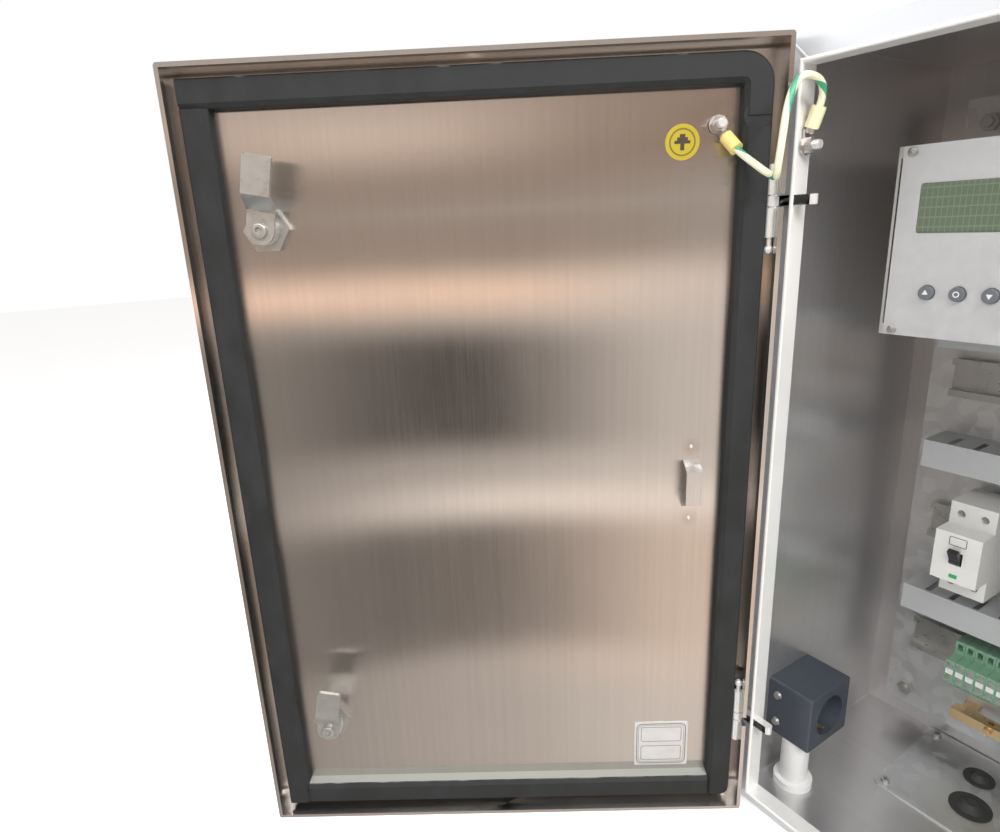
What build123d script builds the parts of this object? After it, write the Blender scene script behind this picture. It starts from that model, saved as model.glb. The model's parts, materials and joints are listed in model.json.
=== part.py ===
from build123d import *
import math
import os

os.makedirs("parts", exist_ok=True)

# Traffic signal controller cabinet: a stainless steel wall box with its door swung open.
# Lengths are in millimetres. +X is to the right seen from the front, -Y is the front, +Z is up.
# The origin is the middle of the box's bottom face.

# Driving dimensions of the sheet metal
door_width = 438.0
door_height = 655.0
body_depth = 235.0
sheet = 1.5
open_angle = 124.0
rim_depth = 20.0
hem_width = 3.2
hem_depth = 6.0
shoulder_gap = 3.0
corner_radius = 2.5

# Driving dimensions of the seal
gasket_inset = 9.0
gasket_width = 20.0
gasket_height = 12.0
gasket_bevel = 3.5
gasket_bevel_drop = 2.5
gasket_inner_bend = 1.5
gasket_turn_down = 20.0
seal_gap = 0.3
collar_wall = 3.0
collar_depth = 16.0

# Driving dimensions of the hinges
hinge_inset = 5.25
hinge_height = 10.0
upper_hinge_drop = 109.0
lower_hinge_rise = 98.0
arm_height = 7.0
arm_reach = 16.0
arm_clearance = 1.0
eye_radius = 3.5
pin_radius = 1.9
pin_fit = 0.1
knuckle_radius = 3.5
knuckle_length = 21.0
knuckle_gap = 1.0
pin_ball_radius = 3.4
pin_neck = 6.0
pin_grip = 8.0

# Driving dimensions of the cam locks
lock_inset = 57.5
upper_lock_drop = 114.0
lower_lock_rise = 97.0
lock_head_radius = 14.0
lock_head_height = 3.0
lock_barrel_radius = 10.5
lock_barrel_length = 14.0
lock_nut_flats = 30.0
lock_nut_height = 5.0
insert_radius = 6.0
insert_fit = 0.3
insert_square = 8.0
cam_thickness = 3.0
cam_width = 20.5
cam_base_run = 15.0
cam_ramp_run = 11.0
cam_reach = 52.0
cam_catch_gap = 0.5
cam_lean = 11.0
bolt_head_radius = 5.5
bolt_head_height = 3.5
bolt_shank_radius = 2.9
bolt_length = 10.0

# Driving dimensions of the earth bond
door_stud_inset = (44.3, 54.5)
stud_radius = 2.9
stud_length = 14.0
earth_nut_flats = 10.0
earth_nut_height = 5.0
stud_base_height = 1.0
lug_thickness = 1.6
lug_ring_radius = 6.5
lug_neck_length = 10.5
lug_root_reach = 8.0
lug_root_height = 2.0
lug_barrel_radius = 3.2
lug_barrel_length = 8.0
sleeve_radius = 4.9
sleeve_length = 14.0
door_lug_heading = -60.0
door_lug_lift = 38.0
door_sleeve_lap = 5.5
body_lug_heading = 90.0
body_lug_lift = 20.0
body_sleeve_lap = 4.5
body_stud_drop = 44.0
body_stud_length = 13.0
lead_diameter = 5.0
lead_bend = 15.0
lead_tight_bend = 12.0

# Driving dimensions of the stickers and the small bracket on the door
sticker_inset = (69.0, 65.0)
sticker_diameter = 25.0
label_inset = (71.2, 58.5)
label_size = (50.0, 49.0)
sticker_thickness = 0.4
bracket_inset = 53.5
bracket_level = -4.0
bracket_width = 13.0
bracket_height = 42.0
bracket_standoff = 14.0
bracket_slope = 6.5
bracket_sheet = 1.5

# Driving dimensions of the inner fittings. The plate keeps a margin to the box, and what sits on
# the plate keeps its share of the plate's height or its margin to the plate's sides.
plate_margin = (29.0, 32.5)
plate_thickness = 2.0
plate_standoff = 20.0
plate_flange = 12.0
plate_hole_inset = 20.0
rail_height = 35.0
rail_depth = 7.5
rail_sheet = 1.0
rail_margin = 20.0
rack_margin = 25.0
rack_height_share = 0.226
rack_level_share = 0.3135
rack_depth = 150.0
card_gap = 0.8
duct_width = 25.0
duct_depth = 40.0
duct_sheet = 1.5
duct_clearance = 0.8

# Driving dimensions of the service outlet on the side wall
outlet_size = (62.0, 58.0)
outlet_depth = 44.0
outlet_front_w = 62.5
outlet_rise = 83.0
outlet_hole_radius = 20.0
plug_radius = 4.0
plug_spacing = 29.0
plug_inset = 10.0
conduit_radius = 12.5
conduit_inset = 24.0
conduit_w = 76.5

# Worked-out places. u runs across the door towards its hinges, v runs up, w runs from the
# panel's inner face towards the inside of the cabinet; all three start at the panel's middle.
half_width = door_width / 2
half_height = door_height / 2
shoulder_w = rim_depth + shoulder_gap
collar_tip_w = gasket_height + seal_gap
collar_back_w = collar_tip_w + collar_depth
collar_outer = gasket_inset + gasket_width / 2 - collar_wall / 2
collar_inner = collar_outer + collar_wall
back_w = shoulder_w + body_depth - sheet
clear_half_width = half_width - gasket_inset - gasket_width
clear_half_height = half_height - gasket_inset - gasket_width
axis_u = half_width - hinge_inset
hinge_levels = {"upper": half_height - upper_hinge_drop, "lower": -half_height + lower_hinge_rise}
lock_levels = {"upper": half_height - upper_lock_drop, "lower": -half_height + lower_lock_rise}
lock_u = -half_width + lock_inset
door_stud = (half_width - door_stud_inset[0], half_height - door_stud_inset[1])
sticker_place = (half_width - sticker_inset[0], half_height - sticker_inset[1])
label_place = (half_width - label_inset[0], -half_height + label_inset[1])
bracket_place = (half_width - bracket_inset, bracket_level)
plate_width = door_width - 2 * plate_margin[0]
plate_height = door_height - 2 * plate_margin[1]
rail_length = plate_width - 2 * rail_margin
rack_width = plate_width - 2 * rack_margin
rack_height = plate_height * rack_height_share
rack_level = plate_height * rack_level_share
outlet_level = -half_height + outlet_rise

# Planes. mouth is the door panel's inner face with the door shut, and door is the same face
# with the door swung open about its hinge pins.
panel_y = -body_depth / 2 - shoulder_w
mouth = Plane(origin=(0, panel_y, half_height), x_dir=(-1, 0, 0), z_dir=(0, 1, 0))
axis_foot = mouth.from_local_coords((axis_u, 0, hinge_height))
turn = math.radians(open_angle)
across = Vector(-math.cos(turn), math.sin(turn), 0)
inward = Vector(math.sin(turn), math.cos(turn), 0)
door = Plane(origin=axis_foot - across * axis_u - inward * hinge_height, x_dir=across, z_dir=inward)
up = Vector(0, 0, 1)


def level_plane(base, v):
    """A level plane at height v whose own x is u and whose own y is w; its normal points down."""
    return Plane(origin=base.from_local_coords((0, v, 0)), x_dir=base.x_dir, z_dir=-up)


def side_plane(base, u):
    """An upright plane at u whose own x is v and whose own y is w; its normal points along u."""
    return Plane(origin=base.from_local_coords((u, 0, 0)), x_dir=up, z_dir=base.x_dir)


def save(piece, label):
    """Names a finished piece and writes it."""
    piece.part.label = label
    export_step(piece.part, "parts/" + label + ".step")


conduit_place = (-(half_width - sheet - conduit_inset), panel_y + conduit_w)

# The cabinet's box: one welded shell with a shoulder round the front and a folded collar,
# which stands forward to meet the door's gasket and folds back inside as the cams' catch.
back_hole_radius = 4.5
back_hole_inset = (49.0, 47.5)
back_hole_spacing = (door_width - 2 * back_hole_inset[0], door_height - 2 * back_hole_inset[1])
gland_margin = 18.0
gland_opening = (door_width * 0.594, body_depth * 0.349)
gland_size = (gland_opening[0] + 2 * gland_margin, gland_opening[1] + 2 * gland_margin)
gland_back = body_depth / 2 - sheet - 1 - gland_size[1] / 2
collar_tip_radius = 1.2
with BuildPart() as cabinet_shell:
    with BuildSketch(mouth.offset(shoulder_w)):
        RectangleRounded(door_width, door_height, corner_radius)
    extrude(amount=body_depth)
    back_edges = cabinet_shell.faces().sort_by(Axis.Y)[-1].edges()
    fillet(back_edges, corner_radius - 0.5)
    with BuildSketch(mouth.offset(shoulder_w + sheet)):
        RectangleRounded(door_width - 2 * sheet, door_height - 2 * sheet, corner_radius - sheet)
    extrude(amount=body_depth - 2 * sheet, mode=Mode.SUBTRACT)
    with BuildSketch(mouth.offset(shoulder_w)):
        Rectangle(door_width - 2 * collar_outer, door_height - 2 * collar_outer)
    extrude(amount=sheet, mode=Mode.SUBTRACT)
    with BuildSketch(mouth.offset(collar_tip_w)):
        Rectangle(door_width - 2 * collar_outer, door_height - 2 * collar_outer)
        Rectangle(door_width - 2 * collar_inner, door_height - 2 * collar_inner, mode=Mode.SUBTRACT)
    extrude(amount=shoulder_w + sheet - collar_tip_w)
    tip_edges = cabinet_shell.faces().sort_by(Axis.Y)[0].edges()
    fillet(tip_edges, collar_tip_radius)
    with BuildSketch(mouth.offset(shoulder_w + sheet)):
        Rectangle(door_width - 2 * (collar_inner - sheet), door_height - 2 * (collar_inner - sheet))
        Rectangle(door_width - 2 * collar_inner, door_height - 2 * collar_inner, mode=Mode.SUBTRACT)
    extrude(amount=collar_back_w - shoulder_w - sheet)
    for level in hinge_levels.values():
        with BuildSketch(side_plane(mouth, half_width - collar_outer)):
            with Locations((level, shoulder_w - 2.5 - arm_height / 2)):
                Rectangle(arm_height, arm_height)
        extrude(amount=-collar_wall, mode=Mode.SUBTRACT)
    with BuildSketch(mouth.offset(back_w)):
        with GridLocations(back_hole_spacing[0], back_hole_spacing[1], 2, 2):
            Circle(back_hole_radius)
    extrude(amount=sheet, mode=Mode.SUBTRACT)
    with BuildSketch(Plane.XY):
        with Locations((0, gland_back)):
            RectangleRounded(gland_opening[0], gland_opening[1], 4)
    extrude(amount=sheet, mode=Mode.SUBTRACT)
save(cabinet_shell, "cabinet_shell")

# The gland plate closes the bottom opening from inside. Its cable holes carry rubber grommets.
gland_sheet = 2.0
large_hole = 14.0
small_hole = 10.0
large_spacing = 80.0
small_spacing = 45.0
large_row = -19.0
small_row = 23.0
screw_inset = 8.0
with BuildPart() as gland_plate:
    with BuildSketch(Plane.XY.offset(sheet)):
        with Locations((0, gland_back)):
            RectangleRounded(gland_size[0], gland_size[1], 6)
        with Locations((0, gland_back + large_row)):
            with GridLocations(large_spacing, 1, 3, 1):
                Circle(large_hole, mode=Mode.SUBTRACT)
        with Locations((0, gland_back + small_row)):
            with GridLocations(small_spacing, 1, 5, 1):
                Circle(small_hole, mode=Mode.SUBTRACT)
    extrude(amount=gland_sheet)
save(gland_plate, "gland_plate")

lip_width = 3.0
lip_height = 1.2
groove_wall = 1.2
cone_height = 6.0
membrane = 1.0


def grommet_points(hole):
    """Half of a rubber grommet's section: lips above and below the plate and a stepped cone."""
    top = sheet + gland_sheet
    return [
        (0, top + cone_height - membrane),
        (0, top + cone_height),
        (hole * 0.35, top + cone_height),
        (hole * 0.8, top + lip_height),
        (hole + lip_width, top + lip_height),
        (hole + lip_width, top),
        (hole, top),
        (hole, sheet),
        (hole - groove_wall, sheet),
        (hole - groove_wall, top),
        (hole * 0.35, top + cone_height - membrane),
    ]


grommet_rows = (
    (3, large_spacing, large_row, large_hole),
    (5, small_spacing, small_row, small_hole),
)
with BuildPart() as cable_grommets:
    for count, spacing, row, hole in grommet_rows:
        for index in range(count):
            place = ((index - (count - 1) / 2) * spacing, gland_back + row)
            with BuildSketch(Plane(origin=(place[0], place[1], 0), x_dir=(1, 0, 0), z_dir=(0, -1, 0))):
                Polygon(*grommet_points(hole), align=None)
            revolve(axis=Axis((place[0], place[1], 0), (0, 0, 1)))
save(cable_grommets, "cable_grommets")

# The hinge arms: each is one bar that grips the hinge pin in its eye, steps back and passes
# through the collar to the inside of the box, where its end shows.
arm_far_w = shoulder_w - 2.5
arm_near_w = arm_far_w - arm_height
arm_end_u = half_width - collar_inner - arm_reach
for side, level in hinge_levels.items():
    with BuildPart() as hinge_arm:
        with BuildSketch(level_plane(mouth, level + arm_height / 2)):
            with BuildLine():
                neck = Polyline(
                    (axis_u - eye_radius, hinge_height),
                    (axis_u - eye_radius, arm_near_w),
                    (arm_end_u + arm_height / 2, arm_near_w),
                )
                tip = ThreePointArc(
                    neck @ 1,
                    (arm_end_u, (arm_near_w + arm_far_w) / 2),
                    (arm_end_u + arm_height / 2, arm_far_w),
                )
                heel = FilletPolyline(
                    tip @ 1, (axis_u + eye_radius, arm_far_w), (axis_u + eye_radius, hinge_height), radius=3
                )
                ThreePointArc(heel @ 1, (axis_u, hinge_height - eye_radius), neck @ 0)
            make_face()
            with Locations((axis_u, hinge_height)):
                Circle(pin_radius + pin_fit, mode=Mode.SUBTRACT)
        extrude(amount=arm_height)
    save(hinge_arm, side + "_hinge_arm")

# The mounting plate, a shallow tray folded back at both sides, on four shouldered studs.
plate_front_w = back_w - plate_standoff - plate_thickness
plate_hole_radius = 4.5
plate_holes = (plate_width - 2 * plate_hole_inset, plate_height - 2 * plate_hole_inset)
with BuildPart() as mounting_plate:
    with BuildSketch(level_plane(mouth, plate_height / 2)):
        with BuildLine():
            Polyline(
                (-plate_width / 2, plate_front_w),
                (plate_width / 2, plate_front_w),
                (plate_width / 2, plate_front_w + plate_flange),
                (plate_width / 2 - plate_thickness, plate_front_w + plate_flange),
                (plate_width / 2 - plate_thickness, plate_front_w + plate_thickness),
                (-plate_width / 2 + plate_thickness, plate_front_w + plate_thickness),
                (-plate_width / 2 + plate_thickness, plate_front_w + plate_flange),
                (-plate_width / 2, plate_front_w + plate_flange),
                close=True,
            )
        make_face()
    extrude(amount=plate_height)
    with BuildSketch(mouth.offset(plate_front_w)):
        with GridLocations(plate_holes[0], plate_holes[1], 2, 2):
            Circle(plate_hole_radius)
    extrude(amount=plate_thickness, mode=Mode.SUBTRACT)
save(mounting_plate, "mounting_plate")

plate_stud_radius = 3.9
stud_collar_radius = 8.0
plate_nut_flats = 13.0
plate_nut_height = 6.5
with BuildPart() as plate_studs:
    with BuildSketch(mouth.offset(back_w)):
        with GridLocations(plate_holes[0], plate_holes[1], 2, 2):
            Circle(stud_collar_radius)
    extrude(amount=-plate_standoff)
    with BuildSketch(mouth.offset(back_w - plate_standoff)):
        with GridLocations(plate_holes[0], plate_holes[1], 2, 2):
            Circle(plate_stud_radius)
    extrude(amount=-(plate_thickness + plate_nut_height + 3))
save(plate_studs, "plate_studs")

# Three top-hat rails across the mounting plate carry the snap-on devices.
rail_levels = (plate_height * 0.102, -plate_height * 0.136, -plate_height * 0.348)
rail_top_width = 25.0
rail_front_w = plate_front_w - rail_depth


def rail_points(level):
    """The top-hat outline in the upright side plane: the hat's floor lies on the plate."""
    half = rail_height / 2
    crown = rail_top_width / 2
    return [
        (level + half, rail_front_w),
        (level + half, rail_front_w + rail_sheet),
        (level + crown, rail_front_w + rail_sheet),
        (level + crown, plate_front_w),
        (level - crown, plate_front_w),
        (level - crown, rail_front_w + rail_sheet),
        (level - half, rail_front_w + rail_sheet),
        (level - half, rail_front_w),
        (level - crown + rail_sheet, rail_front_w),
        (level - crown + rail_sheet, plate_front_w - rail_sheet),
        (level + crown - rail_sheet, plate_front_w - rail_sheet),
        (level + crown - rail_sheet, rail_front_w),
    ]


with BuildPart() as din_rails:
    for level in rail_levels:
        with BuildSketch(side_plane(mouth, -rail_length / 2)):
            Polygon(*rail_points(level), align=None)
        extrude(amount=rail_length)
save(din_rails, "din_rails")

# Slotted wiring ducts between the rows: open boxes with comb walls, each with its lid on.
supply_height = plate_height * 0.195
duct_levels = (
    rack_level - rack_height / 2 - duct_clearance - duct_width / 2,
    -plate_height * 0.0085,
    rail_levels[1] - supply_height / 2 - duct_clearance - duct_width / 2,
)
duct_slot = 5.0
duct_pitch = 20.0
with BuildPart() as wiring_ducts:
    for level in duct_levels:
        with BuildSketch(side_plane(mouth, -rail_length / 2)):
            with Locations((level, plate_front_w - duct_depth / 2)):
                Rectangle(duct_width, duct_depth)
                Rectangle(duct_width - 2 * duct_sheet, duct_depth - 2 * duct_sheet, mode=Mode.SUBTRACT)
        extrude(amount=rail_length)
    slots = int((rail_length - duct_pitch) // duct_pitch)
    for level in duct_levels:
        with BuildSketch(level_plane(mouth, level + duct_width / 2)):
            with Locations((0, plate_front_w - duct_depth * 0.62)):
                with GridLocations(duct_pitch, 1, slots, 1):
                    Rectangle(duct_slot, duct_depth * 0.62)
        extrude(amount=duct_width, mode=Mode.SUBTRACT)
save(wiring_ducts, "wiring_ducts")

# The controller's card rack: two ear plates joined by four extruded rails, with a shelf of
# guides behind. Six plug-in cards fill it from side to side.
rack_side = 2.0
rack_ear = 14.0
rack_rail = 8.0
rack_front_w = plate_front_w - rack_depth
rack_ear_hole = 3.3
with BuildPart() as rack_frame:
    for mirror_sign in (-1, 1):
        with BuildSketch(level_plane(mouth, rack_level + rack_height / 2)):
            with BuildLine():
                Polyline(
                    (mirror_sign * rack_width / 2, rack_front_w),
                    (mirror_sign * rack_width / 2, plate_front_w - rack_side),
                    (mirror_sign * (rack_width / 2 + rack_ear), plate_front_w - rack_side),
                    (mirror_sign * (rack_width / 2 + rack_ear), plate_front_w),
                    (mirror_sign * (rack_width / 2 - rack_side), plate_front_w),
                    (mirror_sign * (rack_width / 2 - rack_side), rack_front_w),
                    close=True,
                )
            make_face()
        extrude(amount=rack_height)
    for edge in (-1, 1):
        for rail_w in (rack_front_w + rack_rail / 2, plate_front_w - rack_side - 2 * rack_rail):
            with BuildSketch(side_plane(mouth, -rack_width / 2 + rack_side)):
                with Locations((rack_level + edge * (rack_height / 2 - rack_rail / 2), rail_w)):
                    Rectangle(rack_rail, rack_rail)
            extrude(amount=rack_width - 2 * rack_side)
    with BuildSketch(mouth.offset(plate_front_w - rack_side)):
        with Locations((0, rack_level)):
            with GridLocations(rack_width + rack_ear, rack_height - 24, 2, 2):
                Circle(rack_ear_hole)
    extrude(amount=rack_side, mode=Mode.SUBTRACT)
save(rack_frame, "rack_frame")

card_face = 2.5
board_thickness = 1.6
board_margin = 10.0
board_depth = 130.0
card_shares = (
    ("rack_power_card", 0.155),
    ("driver_card_3", 0.137),
    ("driver_card_2", 0.137),
    ("driver_card_1", 0.137),
    ("monitor_card", 0.137),
    ("cpu_card", 0.297),
)
card_row_width = rack_width - 2 * rack_side - 4
key_drop = 34.0
key_level = rack_level - key_drop
key_pitch = 20.0
key_radius = 5.0
key_fit = 0.4
key_stand = 3.0
screen_size = (66.0, 34.0)
screen_depth = 1.0
screen_rise = 24.0
socket_size = (12.0, 34.0)
lamp_radius = 2.0
lamp_count = 4
card_screw_radius = 2.5
grip_size = (10.0, 9.0)
grip_depth = 12.0
card_start = -card_row_width / 2
cpu_centre = 0.0
for name, share in card_shares:
    width = card_row_width * share
    centre = card_start + width / 2
    card_start += width
    if name == "cpu_card":
        cpu_centre = centre
    with BuildPart() as card:
        with BuildSketch(mouth.offset(rack_front_w)):
            with Locations((centre, rack_level)):
                Rectangle(width - card_gap, rack_height - card_gap)
        extrude(amount=-card_face)
        with BuildSketch(mouth.offset(rack_front_w)):
            with Locations((centre + width / 2 - board_margin, rack_level)):
                Rectangle(board_thickness, rack_height - 2 * rack_rail - 2)
        extrude(amount=board_depth)
        with BuildSketch(mouth.offset(rack_front_w - card_face)):
            with Locations((centre, rack_level)):
                with GridLocations(width - 14, rack_height - 9, 2, 2):
                    Circle(card_screw_radius)
        extrude(amount=-1.5)
        if name == "cpu_card":
            with BuildSketch(mouth.offset(rack_front_w - card_face)):
                with Locations((centre, rack_level + screen_rise)):
                    RectangleRounded(screen_size[0], screen_size[1], 2)
            extrude(amount=screen_depth, mode=Mode.SUBTRACT)
            with BuildSketch(mouth.offset(rack_front_w - card_face)):
                with Locations((centre, key_level)):
                    with GridLocations(key_pitch, 1, 3, 1):
                        Circle(key_radius + key_fit)
            extrude(amount=card_face, mode=Mode.SUBTRACT)
        else:
            with BuildSketch(mouth.offset(rack_front_w - card_face)):
                with Locations((centre, rack_level - 22)):
                    Rectangle(socket_size[0], socket_size[1])
            extrude(amount=1.2, mode=Mode.SUBTRACT)
            with BuildSketch(mouth.offset(rack_front_w - card_face)):
                with Locations((centre, rack_level + 30)):
                    with GridLocations(1, 9, 1, lamp_count):
                        Circle(lamp_radius)
            extrude(amount=-1.0)
            with BuildSketch(mouth.offset(rack_front_w - card_face)):
                with Locations((centre, rack_level + 4)):
                    Rectangle(grip_size[0], grip_size[1])
            extrude(amount=-grip_depth, taper=6)
    save(card, name)

# Three keys under the controller's screen; each slides in its hole and is pushed back by a spring.
for index in range(3):
    with BuildPart() as key:
        with BuildSketch(mouth.offset(rack_front_w - card_face - key_stand)):
            with Locations((cpu_centre + (1 - index) * key_pitch, key_level)):
                Circle(key_radius)
        extrude(amount=card_face + key_stand)
        crown = key.faces().sort_by(Axis.Y)[0].edges()
        fillet(crown, 0.8)
    save(key, "cpu_key_" + str(index + 1))

# Snap-on devices. The side outline of each is a closed stepped profile: a wide foot that
# clasps the rail, and a narrower nose with the lever or the front face.
foot_height = 45.0


def device_points(level, height, nose, foot_depth, depth):
    """A stepped device outline in the side plane, seated on the rail's front."""
    back = rail_front_w
    return [
        (level - height / 2, back),
        (level + height / 2, back),
        (level + height / 2, back - foot_depth),
        (level + nose / 2, back - foot_depth),
        (level + nose / 2, back - depth),
        (level - nose / 2, back - depth),
        (level - nose / 2, back - foot_depth),
        (level - height / 2, back - foot_depth),
    ]


breaker_height = 85.0
breaker_foot = 44.0
breaker_depth = 66.0
pole_width = 18.0
lever_radius = 6.0
lever_width = 8.0
lever_slot = 10.0
breakers = (("main_breaker", rail_length * 0.347, 2), ("lamp_breaker", rail_length * 0.176, 1))
breaker_front_w = rail_front_w - breaker_depth
lever_w = breaker_front_w + 3.0
for name, centre, poles in breakers:
    width = poles * pole_width - 0.4
    with BuildPart() as breaker:
        with BuildSketch(side_plane(mouth, centre - width / 2)):
            Polygon(
                *device_points(rail_levels[1], breaker_height, foot_height, breaker_foot, breaker_depth),
                align=None,
            )
        extrude(amount=width)
        with BuildSketch(side_plane(mouth, centre - lever_slot / 2)):
            with Locations((rail_levels[1], lever_w)):
                Circle(lever_radius + 0.5)
        extrude(amount=lever_slot, mode=Mode.SUBTRACT)
        with BuildSketch(mouth.offset(breaker_front_w + breaker_depth - breaker_foot)):
            with Locations((centre, rail_levels[1])):
                with GridLocations(pole_width, breaker_height - 20, poles, 2):
                    Circle(3.2)
        extrude(amount=5, mode=Mode.SUBTRACT)
    save(breaker, name)
    with BuildPart() as lever:
        with BuildSketch(side_plane(mouth, centre - lever_width / 2)):
            with Locations((rail_levels[1], lever_w)):
                Circle(lever_radius)
            with Locations((rail_levels[1], lever_w)):
                Polygon((1.0, -2.0), (10.5, -8.5), (8.5, -12.0), (-3.5, -4.0), align=None)
        extrude(amount=lever_width)
    save(lever, name + "_lever")

supply_width = 62.0
supply_depth = 95.0
supply_place = -rail_length * 0.176
vent_slot = (3.0, 26.0)
vent_pitch = 7.0
with BuildPart() as power_supply:
    with BuildSketch(side_plane(mouth, supply_place - supply_width / 2)):
        with Locations((rail_levels[1], rail_front_w - supply_depth / 2)):
            Rectangle(supply_height, supply_depth)
    extrude(amount=supply_width)
    front_edges = power_supply.faces().sort_by(Axis.Y)[0].edges()
    chamfer(front_edges, 2)
    with BuildSketch(level_plane(mouth, rail_levels[1] + supply_height / 2)):
        with Locations((supply_place, rail_front_w - supply_depth / 2)):
            with GridLocations(vent_pitch, supply_depth * 0.358, 7, 2):
                SlotOverall(vent_slot[1], vent_slot[0], rotation=90)
    extrude(amount=1.5, mode=Mode.SUBTRACT)
    with BuildSketch(mouth.offset(rail_front_w - supply_depth)):
        with Locations((supply_place, rail_levels[1] - supply_height / 2 + 14)):
            Rectangle(supply_width - 14, 12)
        with Locations((supply_place, rail_levels[1] + supply_height / 2 - 14)):
            Rectangle(supply_width - 26, 12)
    extrude(amount=8, mode=Mode.SUBTRACT)
save(power_supply, "power_supply")

# The lamp terminals: a row of thin insulated blocks with wire mouths and screws at the front.
terminal_pitch = 8.2
terminal_count = 28
terminal_height = 48.0
terminal_nose = 22.0
terminal_foot = 22.0
terminal_depth = 38.0
terminal_gap = 0.3
with BuildPart() as terminal_strip:
    for index in range(terminal_count):
        start = (index - terminal_count / 2) * terminal_pitch + 8
        with BuildSketch(side_plane(mouth, start)):
            Polygon(
                *device_points(
                    rail_levels[2], terminal_height, terminal_nose, terminal_foot, terminal_depth
                ),
                align=None,
            )
        extrude(amount=terminal_pitch - terminal_gap)
    with BuildSketch(mouth.offset(rail_front_w - terminal_foot)):
        with Locations((8 - terminal_gap / 2, rail_levels[2])):
            with GridLocations(terminal_pitch, terminal_height - 12, terminal_count, 2):
                Rectangle(4.4, 6.5)
    extrude(amount=6, mode=Mode.SUBTRACT)
save(terminal_strip, "terminal_strip")

# The earth bar along the bottom of the plate, on two feet, with a row of clamp screws.
bar_level = -plate_height * 0.444
bar_length = rail_length * 0.706
bar_size = (10.0, 12.0)
bar_foot = 12.0
bar_screws = 12
bar_screw_pitch = bar_length / (bar_screws + 3)
with BuildPart() as earth_bar:
    with BuildSketch(side_plane(mouth, -bar_length / 2)):
        with Locations((bar_level, plate_front_w - bar_foot - bar_size[1] / 2)):
            Rectangle(bar_size[0], bar_size[1])
    extrude(amount=bar_length)
    with BuildSketch(mouth.offset(plate_front_w)):
        with Locations((0, bar_level)):
            with GridLocations(bar_length - 20, 1, 2, 1):
                Rectangle(12, bar_size[0])
    extrude(amount=-bar_foot)
    with BuildSketch(mouth.offset(plate_front_w - bar_foot - bar_size[1])):
        with Locations((0, bar_level)):
            with GridLocations(bar_screw_pitch, 1, bar_screws, 1):
                Circle(3.5)
    extrude(amount=-2.5)
    with BuildSketch(level_plane(mouth, bar_level + bar_size[0] / 2)):
        with Locations((0, plate_front_w - bar_foot - bar_size[1] / 2)):
            with GridLocations(bar_screw_pitch, 1, bar_screws, 1):
                Circle(2.6)
    extrude(amount=bar_size[0], mode=Mode.SUBTRACT)
save(earth_bar, "earth_bar")

# The service outlet, a surface box on the hinge-side wall near the bottom. Its thick sheathed
# feed drops from its underside into a clamping bush on the floor.
wall_plane = Plane(
    origin=mouth.from_local_coords((half_width - sheet, outlet_level, outlet_front_w + outlet_size[0] / 2)),
    x_dir=(0, 1, 0),
    z_dir=(1, 0, 0),
)
with BuildPart() as service_outlet:
    with BuildSketch(wall_plane):
        RectangleRounded(outlet_size[0], outlet_size[1], 3)
    extrude(amount=outlet_depth)
    outlet_front = service_outlet.faces().sort_by(Axis.X)[-1].edges()
    fillet(outlet_front, 2)
    with BuildSketch(wall_plane.offset(outlet_depth)):
        Circle(outlet_hole_radius)
    extrude(amount=-14, mode=Mode.SUBTRACT)
    with BuildSketch(wall_plane.offset(outlet_depth - 14)):
        with Locations((-9.5, 0), (9.5, 0)):
            Circle(2.4)
    extrude(amount=-10, mode=Mode.SUBTRACT)
save(service_outlet, "service_outlet")

with BuildPart() as outlet_conduit:
    with BuildSketch(Plane.XY.offset(sheet)):
        with Locations(conduit_place):
            Circle(conduit_radius)
    extrude(amount=half_height + outlet_level - outlet_size[1] / 2 - sheet)
    with BuildSketch(Plane.XY.offset(sheet)):
        with Locations(conduit_place):
            Circle(conduit_radius + 5)
            Circle(conduit_radius - 0.5, mode=Mode.SUBTRACT)
    extrude(amount=7)
save(outlet_conduit, "outlet_conduit")

# Bright fasteners inside: the plate's nuts, the gland plate's screws and the outlet's plugs.
screw_radius = 4.0
screw_height = 3.0
screw_socket = 1.6
with BuildPart() as inner_fasteners:
    with BuildSketch(mouth.offset(plate_front_w)):
        with GridLocations(plate_holes[0], plate_holes[1], 2, 2):
            RegularPolygon(plate_nut_flats / 2, 6, major_radius=False)
            Circle(plate_stud_radius, mode=Mode.SUBTRACT)
    extrude(amount=-plate_nut_height)
    with BuildSketch(Plane.XY.offset(sheet + gland_sheet)):
        with Locations((0, gland_back)):
            with GridLocations(gland_size[0] / 2 - screw_inset, gland_size[1] - 2 * screw_inset, 3, 2):
                Circle(screw_radius)
                RegularPolygon(screw_socket, 6, mode=Mode.SUBTRACT)
    extrude(amount=screw_height, taper=8)
    with BuildSketch(mouth.offset(outlet_front_w)):
        for rise in (-1, 1):
            with Locations((half_width - sheet - plug_inset, outlet_level + rise * plug_spacing / 2)):
                Circle(plug_radius)
    extrude(amount=-2.5, taper=20)
save(inner_fasteners, "inner_fasteners")

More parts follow.
